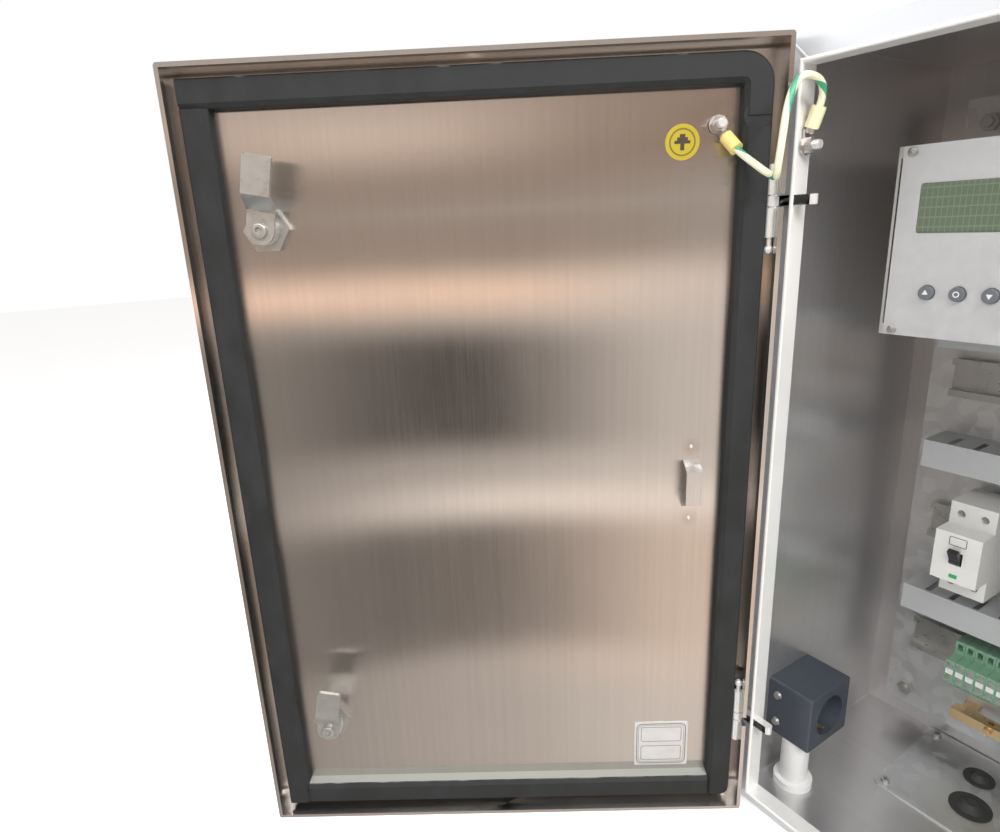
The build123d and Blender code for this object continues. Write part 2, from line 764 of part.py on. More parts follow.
# The door: a pan of sheet steel. Its rim folds inwards and is hemmed at the edge, and two
# slots in the rim let the hinge arms pass.
with BuildPart() as door_panel:
    with BuildSketch(door.offset(-sheet)):
        RectangleRounded(door_width, door_height, corner_radius)
    extrude(amount=sheet + rim_depth)
    outer_edges = door_panel.faces().sort_by(Axis(door.origin, inward))[0].edges()
    fillet(outer_edges, 1.2)
    with BuildSketch(door):
        Rectangle(door_width - 2 * sheet, door_height - 2 * sheet)
    extrude(amount=rim_depth - hem_depth, mode=Mode.SUBTRACT)
    with BuildSketch(door.offset(rim_depth - hem_depth)):
        Rectangle(door_width - 2 * hem_width, door_height - 2 * hem_width)
    extrude(amount=hem_depth, mode=Mode.SUBTRACT)
    for level in hinge_levels.values():
        with BuildSketch(side_plane(door, half_width)):
            with Locations((level, rim_depth / 2)):
                Rectangle(arm_height + 2 * arm_clearance, rim_depth)
        extrude(amount=-hem_width, mode=Mode.SUBTRACT)
    with BuildSketch(door.offset(-sheet)):
        with Locations([(lock_u, level) for level in lock_levels.values()]):
            Circle(lock_barrel_radius + 0.15)
    extrude(amount=sheet, mode=Mode.SUBTRACT)
save(door_panel, "door_panel")


# The sponge strip's section: its own x runs outwards from the inner edge, y is w.
gasket_points = [
    (0, 0),
    (gasket_width, 0),
    (gasket_width, gasket_height - 1.2),
    (gasket_width - 1.2, gasket_height),
    (gasket_bevel, gasket_height),
    (0.5, gasket_height - gasket_bevel_drop),
    (0, gasket_height - gasket_bevel_drop - 0.6),
]


def strip_plane(u, v, outwards):
    """The cross-section plane of a gasket strip at (u, v); outwards points to the door's edge."""
    return Plane(origin=door.from_local_coords((u, v, 0)), x_dir=outwards, z_dir=outwards.cross(inward))


# The sponge rubber seal is four strips. The top strip bends round the corner on the hinge side
# and ends there in a round cut; the others are cut square and butt against each other.
top_length = 2 * clear_half_width - gasket_inner_bend + gasket_width
bend_start_u = clear_half_width - gasket_inner_bend
turn_down_end = clear_half_height - gasket_inner_bend - gasket_turn_down
with BuildPart() as gasket_top:
    with BuildSketch(strip_plane(bend_start_u, clear_half_height, up)):
        Polygon(*gasket_points, align=None)
    extrude(amount=top_length, dir=-across)
    bend_centre = door.from_local_coords((bend_start_u, clear_half_height - gasket_inner_bend, 0))
    bend_axis = Axis(bend_centre, inward)
    with BuildSketch(strip_plane(bend_start_u, clear_half_height, up)):
        Polygon(*gasket_points, align=None)
    revolve(axis=bend_axis, revolution_arc=-90)
    with BuildSketch(strip_plane(clear_half_width, clear_half_height - gasket_inner_bend, across)):
        Polygon(*gasket_points, align=None)
    extrude(amount=gasket_turn_down, dir=-up)
    with BuildSketch(door):
        with Locations((clear_half_width + gasket_width / 2, turn_down_end)):
            Circle(gasket_width / 2)
    extrude(amount=gasket_height - 0.8)
save(gasket_top, "gasket_top")

with BuildPart() as gasket_hinge_side:
    with BuildSketch(strip_plane(clear_half_width, turn_down_end, across)):
        Polygon(*gasket_points, align=None)
    extrude(amount=turn_down_end + clear_half_height + gasket_width, dir=-up)
    with BuildSketch(door):
        with Locations((clear_half_width + gasket_width / 2, turn_down_end)):
            Circle(gasket_width / 2)
    extrude(amount=gasket_height, mode=Mode.SUBTRACT)
    lower_corner = gasket_hinge_side.edges().filter_by(lambda edge: edge.length > gasket_height - 2)
    lower_corner = lower_corner.filter_by(Axis((0, 0, 0), inward)).group_by(Axis.Z)[0]
    fillet(lower_corner.sort_by(Axis((0, 0, 0), across))[-1], 9)
save(gasket_hinge_side, "gasket_hinge_side")

with BuildPart() as gasket_latch_side:
    with BuildSketch(strip_plane(-clear_half_width, clear_half_height, -across)):
        Polygon(*gasket_points, align=None)
    extrude(amount=2 * clear_half_height + gasket_width, dir=-up)
save(gasket_latch_side, "gasket_latch_side")

with BuildPart() as gasket_bottom:
    with BuildSketch(strip_plane(-clear_half_width, -clear_half_height, -up)):
        Polygon(*gasket_points, align=None)
    extrude(amount=2 * clear_half_width, dir=across)
save(gasket_bottom, "gasket_bottom")

# Hinge knuckles: two short barrels on a strip welded to the rim, with the arm's eye between
# them. A round pin with a ball on its end drops through barrels and eye.
knuckle_strip = 2.0
knuckle_start = arm_height / 2 + knuckle_gap
knuckle_end = knuckle_start + knuckle_length
for side, level in hinge_levels.items():
    middle = -1 if side == "upper" else 1
    with BuildPart() as knuckles:
        for half in (-1, 1):
            top = level + (knuckle_end if half > 0 else -knuckle_start)
            with BuildSketch(level_plane(door, top)):
                with Locations((axis_u, hinge_height)):
                    Circle(knuckle_radius)
                with Locations((half_width - sheet - (hinge_inset - sheet) / 2, hinge_height)):
                    Rectangle(hinge_inset - sheet, knuckle_strip * 2)
                with Locations((axis_u, hinge_height)):
                    Circle(pin_radius + pin_fit, mode=Mode.SUBTRACT)
            extrude(amount=knuckle_length)
    save(knuckles, side + "_hinge_knuckles")
    with BuildPart() as hinge_pin:
        far_end = level - middle * (knuckle_start + pin_grip)
        near_end = level + middle * (knuckle_end + pin_neck)
        with BuildSketch(level_plane(door, max(far_end, near_end))):
            with Locations((axis_u, hinge_height)):
                Circle(pin_radius)
        extrude(amount=abs(near_end - far_end))
        ball_level = near_end + middle * pin_ball_radius * 0.8
        with Locations(door.from_local_coords((axis_u, ball_level, hinge_height))):
            Sphere(pin_ball_radius)
    save(hinge_pin, side + "_hinge_pin")

# The cam locks: a flanged barrel through the door with a nut inside, an insert that turns in
# the barrel, and a cranked cam held on the insert's square end by a socket screw.
cam_base_w = lock_barrel_length + insert_fit
cam_catch_w = collar_back_w + cam_catch_gap
key_recess = 4.2
for side, level in lock_levels.items():
    centre = (lock_u, level)
    with BuildPart() as lock_barrel:
        with BuildSketch(door.offset(-sheet)):
            with Locations(centre):
                Circle(lock_head_radius)
        extrude(amount=-lock_head_height, taper=12)
        with BuildSketch(door.offset(-sheet)):
            with Locations(centre):
                Circle(lock_barrel_radius)
        extrude(amount=sheet + lock_barrel_length)
        with BuildSketch(door.offset(-sheet - lock_head_height)):
            with Locations(centre):
                Circle(insert_radius + insert_fit)
        extrude(amount=lock_head_height + sheet + lock_barrel_length, mode=Mode.SUBTRACT)
    save(lock_barrel, side + "_lock_barrel")
    with BuildPart() as lock_nut:
        with BuildSketch(door):
            with Locations(centre):
                RegularPolygon(lock_nut_flats / 2, 6, major_radius=False)
                Circle(lock_barrel_radius, mode=Mode.SUBTRACT)
        extrude(amount=lock_nut_height)
    save(lock_nut, side + "_lock_nut")

    lean = math.radians(cam_lean)
    along = up * math.cos(lean) + across * math.sin(lean)
    axis_point = door.from_local_coords((lock_u, level, 0))
    cam_face = Plane(origin=axis_point, x_dir=along, z_dir=inward)
    with BuildPart() as lock_insert:
        with BuildSketch(cam_face.offset(-sheet - lock_head_height + 0.5)):
            Circle(insert_radius)
        extrude(amount=sheet + lock_head_height - 0.5 + lock_barrel_length)
        with BuildSketch(cam_face.offset(lock_barrel_length)):
            Rectangle(insert_square, insert_square)
        extrude(amount=insert_fit + cam_thickness - 0.1)
        with BuildSketch(cam_face.offset(-sheet - lock_head_height + 0.5)):
            RegularPolygon(key_recess, 3)
        extrude(amount=5, mode=Mode.SUBTRACT)
        with BuildSketch(cam_face.offset(cam_base_w + cam_thickness)):
            Circle(bolt_shank_radius)
        extrude(amount=-bolt_length, mode=Mode.SUBTRACT)
    save(lock_insert, side + "_lock_insert")

    bend_start = cam_base_run
    bend_end = cam_base_run + cam_ramp_run
    rise = cam_catch_w - cam_base_w
    slope = math.atan2(rise, cam_ramp_run)
    nudge = cam_thickness * math.tan(slope / 2)
    with BuildPart() as lock_cam:
        with BuildSketch(cam_face.offset(cam_base_w)):
            Circle(cam_width / 2)
            with Locations((cam_reach / 2, 0)):
                Rectangle(cam_reach, cam_width)
        extrude(amount=rise + cam_thickness)
        corners = lock_cam.edges().filter_by(Axis(axis_point, inward))
        fillet(corners.sort_by(Axis(axis_point, along))[-2:], 2.5)
        side_face = Plane(origin=axis_point, x_dir=along, z_dir=along.cross(inward))
        with BuildSketch(side_face):
            with BuildLine():
                Polyline(
                    (-cam_width, cam_base_w),
                    (bend_start, cam_base_w),
                    (bend_end, cam_catch_w),
                    (cam_reach + 1, cam_catch_w),
                    (cam_reach + 1, cam_catch_w + cam_thickness),
                    (bend_end - nudge, cam_catch_w + cam_thickness),
                    (bend_start - nudge, cam_base_w + cam_thickness),
                    (-cam_width, cam_base_w + cam_thickness),
                    close=True,
                )
            make_face()
        extrude(amount=cam_width, both=True, mode=Mode.INTERSECT)
        with BuildSketch(cam_face.offset(cam_base_w)):
            Rectangle(insert_square, insert_square)
        extrude(amount=cam_thickness, mode=Mode.SUBTRACT)
    save(lock_cam, side + "_cam")

    with BuildPart() as cam_bolt:
        with BuildSketch(cam_face.offset(cam_base_w + cam_thickness)):
            Circle(bolt_head_radius)
        extrude(amount=bolt_head_height)
        crown = cam_bolt.faces().sort_by(Axis(axis_point, inward))[-1].edges()
        fillet(crown, 1.2)
        with BuildSketch(cam_face.offset(cam_base_w + cam_thickness + bolt_head_height)):
            RegularPolygon(2.5, 6, major_radius=False)
        extrude(amount=-2, mode=Mode.SUBTRACT)
        with BuildSketch(cam_face.offset(cam_base_w + cam_thickness)):
            Circle(bolt_shank_radius)
        extrude(amount=-bolt_length)
    save(cam_bolt, side + "_cam_bolt")

# Stickers and the folded bracket on the panel.
with BuildPart() as earth_sticker:
    with BuildSketch(door):
        with Locations(sticker_place):
            Circle(sticker_diameter / 2)
    extrude(amount=sticker_thickness)
save(earth_sticker, "earth_sticker")

with BuildPart() as blank_label:
    with BuildSketch(door):
        with Locations(label_place):
            RectangleRounded(label_size[0], label_size[1], 1)
    extrude(amount=sticker_thickness)
save(blank_label, "blank_label")

with BuildPart() as door_bracket:
    with BuildSketch(side_plane(door, bracket_place[0] - bracket_width / 2)):
        top = bracket_place[1] + bracket_height / 2
        bottom = bracket_place[1] - bracket_height / 2
        inner_standoff = bracket_standoff - bracket_sheet
        with BuildLine():
            Polyline(
                (top, 0),
                (top - bracket_slope, bracket_standoff),
                (bottom + bracket_slope, bracket_standoff),
                (bottom, 0),
                (bottom + bracket_sheet, 0),
                (bottom + bracket_slope + bracket_sheet, inner_standoff),
                (top - bracket_slope - bracket_sheet, inner_standoff),
                (top - bracket_sheet, 0),
                close=True,
            )
        make_face()
    extrude(amount=bracket_width)
save(door_bracket, "door_bracket")

# The earth bond: a welded stud on the door and one on the collar, each with an angled ring
# lug under a nut, joined by a short insulated lead that loops over the hinge side.
inner_side = Plane(
    origin=mouth.from_local_coords((half_width - collar_inner, clear_half_height, collar_tip_w)),
    x_dir=(0, 1, 0),
    z_dir=(1, 0, 0),
)
body_stud = (collar_depth / 2, -body_stud_drop)
bonds = (
    ("door", door, door_stud, stud_length, door_lug_heading, door_lug_lift, door_sleeve_lap),
    ("body", inner_side, body_stud, body_stud_length, body_lug_heading, body_lug_lift, body_sleeve_lap),
)
mouths = {}
for name, base, place, length, heading, lift, lap in bonds:
    with BuildPart() as earth_stud:
        with BuildSketch(base):
            with Locations(place):
                Circle(stud_radius)
        extrude(amount=length)
        with BuildSketch(base):
            with Locations(place):
                Circle(stud_radius + 2)
        extrude(amount=stud_base_height)
    save(earth_stud, name + "_earth_stud")
    with BuildPart() as earth_nut:
        with BuildSketch(base.offset(stud_base_height + lug_thickness)):
            with Locations(place):
                RegularPolygon(earth_nut_flats / 2, 6, major_radius=False)
                Circle(stud_radius, mode=Mode.SUBTRACT)
        extrude(amount=earth_nut_height)
    save(earth_nut, name + "_earth_nut")

    # The ring lies flat under the nut; the neck runs out of it and the barrel lifts off it.
    neck_turn = math.radians(heading)
    neck = base.x_dir * math.cos(neck_turn) + base.y_dir * math.sin(neck_turn)
    centre = base.from_local_coords((place[0], place[1], stud_base_height))
    ring = Plane(origin=centre, x_dir=neck, z_dir=base.z_dir)
    rise = neck * math.cos(math.radians(lift)) + base.z_dir * math.sin(math.radians(lift))
    root = centre + neck * lug_root_reach + base.z_dir * (lug_thickness / 2 + lug_root_height)
    barrel = Plane(origin=root, x_dir=base.z_dir.cross(neck), z_dir=rise)
    with BuildPart() as earth_lug:
        with BuildSketch(ring):
            Circle(lug_ring_radius)
            with Locations((lug_neck_length / 2, 0)):
                Rectangle(lug_neck_length, lug_barrel_radius * 2)
            Circle(stud_radius + 0.2, mode=Mode.SUBTRACT)
        extrude(amount=lug_thickness)
        with BuildSketch(barrel):
            Circle(lug_barrel_radius)
        extrude(amount=lug_barrel_length)
    save(earth_lug, name + "_earth_lug")
    with BuildPart() as lug_sleeve:
        with BuildSketch(barrel.offset(lug_barrel_length - lap)):
            Circle(sleeve_radius)
            Circle(lug_barrel_radius, mode=Mode.SUBTRACT)
        extrude(amount=lap)
        with BuildSketch(barrel.offset(lug_barrel_length)):
            Circle(sleeve_radius)
        extrude(amount=sleeve_length - lap)
    save(lug_sleeve, name + "_lug_sleeve")
    mouths[name] = barrel.offset(lug_barrel_length + sleeve_length - lap)

# The lead leaves the door's sleeve, loops out and up, arches over and enters the body's sleeve.
# Its corners are given from the door's stud, in the open door's own u, v and w.
lead_low = (33.7, -40.2, 28.0)
lead_front = (26.0, -37.5, 51.0)
lead_top = (31.6, 24.5, 50.0)
stud_foot = Vector(door_stud[0], door_stud[1], 0)
door_mouth = mouths["door"]
body_mouth = mouths["body"]
lead_points = [
    door_mouth.origin,
    door_mouth.origin + door_mouth.z_dir * 4,
    door.from_local_coords(stud_foot + Vector(lead_low)),
    door.from_local_coords(stud_foot + Vector(lead_front)),
    door.from_local_coords(stud_foot + Vector(lead_top)),
    body_mouth.origin + body_mouth.z_dir * 16,
    body_mouth.origin,
]
lead_radii = [lead_bend, lead_tight_bend, lead_tight_bend, lead_bend, lead_bend]
with BuildPart() as earth_lead:
    with BuildLine() as lead_path:
        FilletPolyline(*lead_points, radius=lead_radii)
    with BuildSketch(Plane(origin=door_mouth.origin, z_dir=door_mouth.z_dir)):
        Circle(lead_diameter / 2)
    sweep()
save(earth_lead, "earth_lead")

lead_length = sum(edge.length for edge in lead_path.edges())
lead_section = math.pi * lead_diameter**2 / 4
print("lead length", round(lead_length, 2))
print("volume over section", round(earth_lead.part.volume / lead_section, 2))
for index in range(1, len(lead_points) - 1):
    before = lead_points[index] - lead_points[index - 1]
    after = lead_points[index + 1] - lead_points[index]
    print("lead turn", round(before.get_angle(after), 1), "run", round(after.length, 1))
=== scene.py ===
# %% [markdown]
# # A traffic signal controller cabinet with its door swung open
# The cabinet's solids come from the CAD model and already stand where they belong. This lesson
# sets up the camera and the light, gives every piece a finish with nodes, and models the fine
# pieces that a solid model leaves out: threads, weld beads, printed signs, lamps and the cord.

# %% Load the frame
import json
import math

import bmesh
import bpy
from mathutils import Matrix, Vector


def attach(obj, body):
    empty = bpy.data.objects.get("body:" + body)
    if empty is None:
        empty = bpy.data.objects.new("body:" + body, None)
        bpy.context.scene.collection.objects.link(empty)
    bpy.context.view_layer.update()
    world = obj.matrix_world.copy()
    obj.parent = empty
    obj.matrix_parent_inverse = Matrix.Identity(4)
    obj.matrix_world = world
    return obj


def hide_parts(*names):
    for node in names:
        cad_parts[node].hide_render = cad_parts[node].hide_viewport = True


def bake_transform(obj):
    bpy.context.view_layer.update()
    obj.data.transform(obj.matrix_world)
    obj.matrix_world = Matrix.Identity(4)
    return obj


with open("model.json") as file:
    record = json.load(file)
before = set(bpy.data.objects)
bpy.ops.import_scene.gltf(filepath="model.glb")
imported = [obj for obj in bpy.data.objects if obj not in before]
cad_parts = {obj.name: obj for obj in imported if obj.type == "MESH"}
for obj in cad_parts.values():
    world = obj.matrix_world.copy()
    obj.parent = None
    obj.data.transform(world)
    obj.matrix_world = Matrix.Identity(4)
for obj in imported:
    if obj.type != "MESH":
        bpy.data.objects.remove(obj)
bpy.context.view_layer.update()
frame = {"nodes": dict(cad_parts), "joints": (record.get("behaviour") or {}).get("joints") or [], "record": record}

nodes = frame["nodes"]

# %% [markdown]
# ## The camera
# The camera stands where the photograph was taken: half a metre in front of the open door, a
# little above its middle, looking down. A camera looks along its own -Z, so its right, up and
# back directions are the three columns of its matrix. Writing them down is surer than aiming it
# with a constraint, because nothing else then moves it.

# %% Camera
camera_place = Vector((0.1015, -0.5733, 0.5371))
camera_right = Vector((0.5458, 0.8369, -0.0420))
camera_back = Vector((0.8111, -0.5152, 0.2766))
camera_up = camera_back.cross(camera_right)
camera_right = camera_up.cross(camera_back)
camera_matrix = Matrix((camera_right.normalized(), camera_up.normalized(), camera_back.normalized()))
camera_data = bpy.data.cameras.new("front_camera")
camera_data.sensor_width = 36.0
camera_data.lens = 23.76
camera_data.clip_start = 0.01
camera = bpy.data.objects.new("front_camera", camera_data)
camera.matrix_world = Matrix.Translation(camera_place) @ camera_matrix.transposed().to_4x4()
bpy.context.scene.collection.objects.link(camera)
bpy.context.scene.camera = camera
bpy.context.scene.view_settings.view_transform = "Standard"
print("camera lens in mm:", camera_data.lens)

# %% [markdown]
# ## Directions of the open door
# The door is swung open by 124 degrees about its pins, so "across the door" and "out of the
# panel" are slanted directions. The record names the hinge, and its angle gives both of them.
# A small helper turns door coordinates (across, up, off the panel) into places in the scene.

# %% Door directions
hinge = next(joint for joint in frame["joints"] if joint["name"] == "door_hinge")
hinge_foot = Vector(hinge["pos_m"])
open_angle = math.radians(124)
across = Vector((-math.cos(open_angle), math.sin(open_angle), 0))
inward = Vector((math.sin(open_angle), math.cos(open_angle), 0))
up = Vector((0, 0, 1))
out_of_mouth = Vector((0, -1, 0))
half_door, pins_off_panel = 0.21375, 0.010
door_middle = hinge_foot - across * half_door - inward * pins_off_panel
mouth_plane = -0.1405


def on_door(u, v, w):
    """A place on the open door: u towards the hinges, v up, w off the panel, in metres."""
    return door_middle + across * u + up * v + inward * w


def in_box(u, v, w):
    """A place in the cabinet, seen from its mouth: u towards the hinges, v up, w inwards."""
    return Vector((-u, mouth_plane + w, hinge_foot.z + v))


door_frame = Matrix((across, up, inward)).transposed()
print("door middle:", [round(value, 4) for value in door_middle])

# %% [markdown]
# ## Maths on node sockets
# A finish is a picture worked out by nodes. Placing Math nodes by hand hides the formula, so a
# small class wraps one output socket and lets Python's own operators add the nodes: `1 - mask`
# reads as what it is. The second class adds any other node by its type, its settings and the
# values or links of its sockets, in a material or in the world.

# %% Node helpers
class Wire:
    """One output of a node, which can be used in sums."""

    def __init__(self, maker, socket):
        self.maker = maker
        self.socket = socket

    def math(self, operation, other, swapped=False):
        """Adds a Math node on this output and a number or another output."""
        first, second = (other, self) if swapped else (self, other)
        return self.maker.node("ShaderNodeMath", {"operation": operation}, {0: first, 1: second})

    def __add__(self, other):
        return self.math("ADD", other)

    def __sub__(self, other):
        return self.math("SUBTRACT", other)

    def __rsub__(self, other):
        return self.math("SUBTRACT", other, swapped=True)

    def __mul__(self, other):
        return self.math("MULTIPLY", other)

    def __gt__(self, other):
        return self.math("GREATER_THAN", other)

    def __abs__(self):
        return self.math("ABSOLUTE", 0.0)


class NodeMaker:
    """Adds nodes to one node tree."""

    def __init__(self, tree):
        self.nodes = tree.nodes
        self.links = tree.links

    def feed(self, socket, value):
        """Gives a socket a value, or links an output to it."""
        if isinstance(value, Wire):
            self.links.new(value.socket, socket)
        else:
            socket.default_value = value

    def node(self, kind, settings, sockets, output=0):
        """Adds any node: its settings first, then its sockets by name or number."""
        node = self.nodes.new(kind)
        for name, value in settings.items():
            if name == "stops":
                for index, (place, color) in enumerate(value):
                    elements = node.color_ramp.elements
                    stop = elements[index] if index < 2 else elements.new(place)
                    stop.position = place
                    stop.color = (*color, 1)
            else:
                setattr(node, name, value)
        for name, value in sockets.items():
            self.feed(node.inputs[name], value)
        return Wire(self, node.outputs[output])

    def place(self, stretch=(1, 1, 1), start=(0, 0, 0)):
        """The piece's own coordinates in metres, stretched and moved."""
        own = self.node("ShaderNodeTexCoord", {}, {}, "Object")
        sockets = {"Vector": own, "Location": start, "Scale": stretch}
        return self.node("ShaderNodeMapping", {"vector_type": "POINT"}, sockets)

    def part(self, vector, axis):
        """One of the three numbers of a vector."""
        return self.node("ShaderNodeSeparateXYZ", {}, {0: vector}, axis)

    def facing(self, axis):
        """How much the surface looks along an axis, -1 to 1."""
        return self.part(self.node("ShaderNodeNewGeometry", {}, {}, "Normal"), axis)

    def noise(self, stretch, detail=2.0):
        """Soft noise; stretch says how many lumps fit in a metre along each axis."""
        sockets = {"Vector": self.place(stretch), "Scale": 1.0, "Detail": detail}
        return self.node("ShaderNodeTexNoise", {}, sockets)

    def cells(self, stretch, output="Distance"):
        """Scattered points: how far the nearest one is, or a colour of its own for each."""
        return self.node("ShaderNodeTexVoronoi", {}, {"Vector": self.place(stretch), "Scale": 1.0}, output)

    def fit(self, value, low, high, new_low, new_high):
        """Maps a range of values onto another, and stops at its ends."""
        sockets = {0: value, 1: low, 2: high, 3: new_low, 4: new_high}
        return self.node("ShaderNodeMapRange", {"clamp": True}, sockets)

    def blend(self, factor, first, second):
        """Mixes two colours by a factor."""
        colors = [(*value, 1) if isinstance(value, tuple) else value for value in (first, second)]
        sockets = {0: factor, 6: colors[0], 7: colors[1]}
        return self.node("ShaderNodeMix", {"data_type": "RGBA"}, sockets, 2)

    def bump(self, height, distance, under=None):
        """Turns a height map, 0 to 1 times distance in metres, into bent normals."""
        sockets = {"Height": height, "Distance": distance}
        if under is not None:
            sockets["Normal"] = under
        return self.node("ShaderNodeBump", {}, sockets)


class Finish(NodeMaker):
    """A material in the making, with its main shader."""

    def __init__(self, name, color, roughness, metallic=0.0, **sockets):
        self.material = bpy.data.materials.new(name)
        self.material.use_nodes = True
        super().__init__(self.material.node_tree)
        self.shader = self.nodes["Principled BSDF"]
        self.set("Base Color", (*color, 1))
        self.set("Roughness", roughness)
        self.set("Metallic", metallic)
        for socket, value in sockets.items():
            self.set(socket.replace("_", " "), value)

    def set(self, name, value):
        """Feeds one socket of the main shader."""
        self.feed(self.shader.inputs[name], value)


def shade(color, factor):
    """A darker or lighter tone of a colour."""
    return tuple(channel * factor for channel in color)


# %% [markdown]
# ## Brushed stainless steel
# The panel and the box are cold rolled stainless steel with a brushed grain. The grain's tiny
# grooves spread a reflection across themselves, so what the door mirrors turns into level bands.
# The shader does this with its Anisotropic value, and a noise that is stretched along the grain
# adds the fine lines. The lines stand upright on the walls and lie sideways on level faces,
# which the piece's own normal tells apart. A slow noise bends the sheet a little. The collar
# round the box's mouth is painted near white, a painted highlight where bright light falls on
# it, and the shoulder behind it is given a paler, bluish grey; both are less metallic. Masks
# of the box's own coordinates find them.

# %% Brushed steel
collar_half_width, collar_half_height, shoulder_back = 0.2017, 0.3102, -0.1115
weld_brown = (0.42, 0.25, 0.19)


def grain_lines(steel, fineness, length):
    """Long thin streaks along the brushing, upright on standing faces."""
    level = abs(steel.facing("Z")) > 0.7
    standing = steel.noise((fineness, fineness, 1 / length))
    lying = steel.noise((1 / length, fineness, fineness))
    return standing * (1 - level) + lying * level


def mouth_masks(steel):
    """Where the folded collar round the box's mouth is, and where the flat shoulder behind it."""
    own = steel.place(start=(0, 0, -hinge_foot.z))
    front = 1 - (steel.part(own, "Y") > shoulder_back)
    beside = abs(steel.part(own, "X")) > collar_half_width
    beyond = abs(steel.part(own, "Z")) > collar_half_height
    within = (1 - beside) * (1 - beyond)
    shoulder = front * (1 - within) * (abs(steel.facing("Y")) > 0.5)
    return front * within, shoulder


def brushed_steel(name, color, roughness, wave, metallic=1.0, anisotropic=1.0, tints=(), mouth=None):
    """Steel with a grain; wave is how far the sheet bulges, tints are heat marks of welds."""
    steel = Finish(name, color, roughness, metallic, Anisotropic=anisotropic)
    fine = grain_lines(steel, 1500, 0.10)
    broad = grain_lines(steel, 230, 0.30)
    smears = steel.noise((16, 16, 10), 3.0)
    dullness = fine * 0.5 + smears * 0.5
    steel.set("Roughness", steel.fit(dullness, 0.35, 0.65, roughness * 0.88, roughness * 1.12))
    tone = steel.fit(broad * 0.6 + smears * 0.4, 0.35, 0.65, 0.0, 1.0)
    colored = steel.blend(tone, shade(color, 0.955), color)
    own = steel.place()
    for spot, reach in tints:
        ends = {0: own, 1: tuple(spot)}
        away = steel.node("ShaderNodeVectorMath", {"operation": "DISTANCE"}, ends, "Value")
        colored = steel.blend(steel.fit(away, reach * 0.2, reach, 0.28, 0.0), colored, weld_brown)
    # The collar's near white is a painted highlight where bright light falls; the shoulder only gets a paler
    # bluish grey.
    if mouth is not None:
        masks = mouth_masks(steel)
        for mask, mouth_color in zip(masks, mouth):
            colored = steel.blend(mask, colored, mouth_color)
        steel.set("Metallic", steel.fit(masks[0] + masks[1], 0.0, 1.0, metallic, 0.35))
    steel.set("Base Color", colored)
    sheet = steel.bump(steel.noise((5, 5, 3.2), 0.0), wave)
    steel.set("Normal", steel.bump(fine * 0.7 + broad * 0.3, 0.000012, sheet))
    return steel.material


bracket_spots = (on_door(0.1655, 0.028, 0), on_door(0.1655, -0.036, 0))
weld_tints = [(spot, 0.009) for spot in bracket_spots]
# Near white for the collar, a painted highlight, and a paler bluish grey for the shoulder.
painted_collar_highlight_and_shoulder_grey = ((0.93, 0.92, 0.90), (0.68, 0.70, 0.73))
door_steel = brushed_steel("door_stainless", (0.66, 0.635, 0.61), 0.19, 0.0016, tints=weld_tints)
finishes = {
    "steel": brushed_steel("bracket_stainless", (0.72, 0.68, 0.66), 0.30, 0.0, 0.85),
    "box_steel": brushed_steel(
        "box_stainless", (0.64, 0.635, 0.64), 0.32, 0.0006, 0.82, 0.6, mouth=painted_collar_highlight_and_shoulder_grey
    ),
    "bright": brushed_steel("bright_stainless", (0.86, 0.86, 0.85), 0.22, 0.0, 0.5, 0.3),
}
print("steel finishes:", list(finishes))

# %% [markdown]
# ## Cast, zinc plated and galvanised metal
# The lock barrels are die-cast and satin plated, the cams and small screws are zinc plated, and
# the plates inside are galvanised. Cast metal has a fine pebbled skin. Zinc from a bath freezes
# in large flat crystals, which a Voronoi texture gives as patches that differ a little in tone.

# %% Plain metals
def cast_metal(name, color, roughness, metallic=1.0):
    """Satin cast or plated metal with a fine pebbled skin."""
    metal = Finish(name, color, roughness, metallic)
    patches = metal.noise((130, 130, 130), 3.0)
    metal.set("Roughness", metal.fit(patches, 0.3, 0.7, roughness - 0.07, roughness + 0.08))
    metal.set("Base Color", metal.blend(patches, shade(color, 0.86), color))
    metal.set("Normal", metal.bump(metal.noise((2600, 2600, 2600)), 0.000008))
    return metal.material


def galvanised_sheet(name, color):
    """Zinc coated sheet with its frozen crystals."""
    zinc = Finish(name, color, 0.42, 0.8)
    grey = zinc.node("ShaderNodeRGBToBW", {}, {0: zinc.cells((95, 95, 95), "Color")})
    zinc.set("Base Color", zinc.blend(grey, shade(color, 0.80), color))
    zinc.set("Roughness", zinc.fit(grey, 0.0, 1.0, 0.34, 0.52))
    return zinc.material


finishes["cast"] = cast_metal("satin_casting", (0.70, 0.695, 0.67), 0.36, 0.75)
finishes["zinc"] = cast_metal("zinc_plating", (0.54, 0.54, 0.52), 0.32, 0.8)
finishes["card_face"] = cast_metal("anodised_front", (0.74, 0.75, 0.77), 0.40, 0.6)
plated = cast_metal("nickel_plating", (0.62, 0.57, 0.55), 0.30, 0.8)
finishes["copper"] = cast_metal("tinned_brass", (0.80, 0.60, 0.34), 0.30, 0.9)
finishes["galvanised"] = galvanised_sheet("galvanised_sheet", (0.74, 0.76, 0.77))
print("metals so far:", len(finishes))

# %% [markdown]
# ## Sponge seal, rubber and plastics
# The seal is a closed cell sponge strip: black, dull and full of tiny pores, with a smoother
# skin. Pores are the dark middles of small Voronoi cells. Moulded plastics have a faint spark
# eroded grain instead, which a fine noise bump gives.

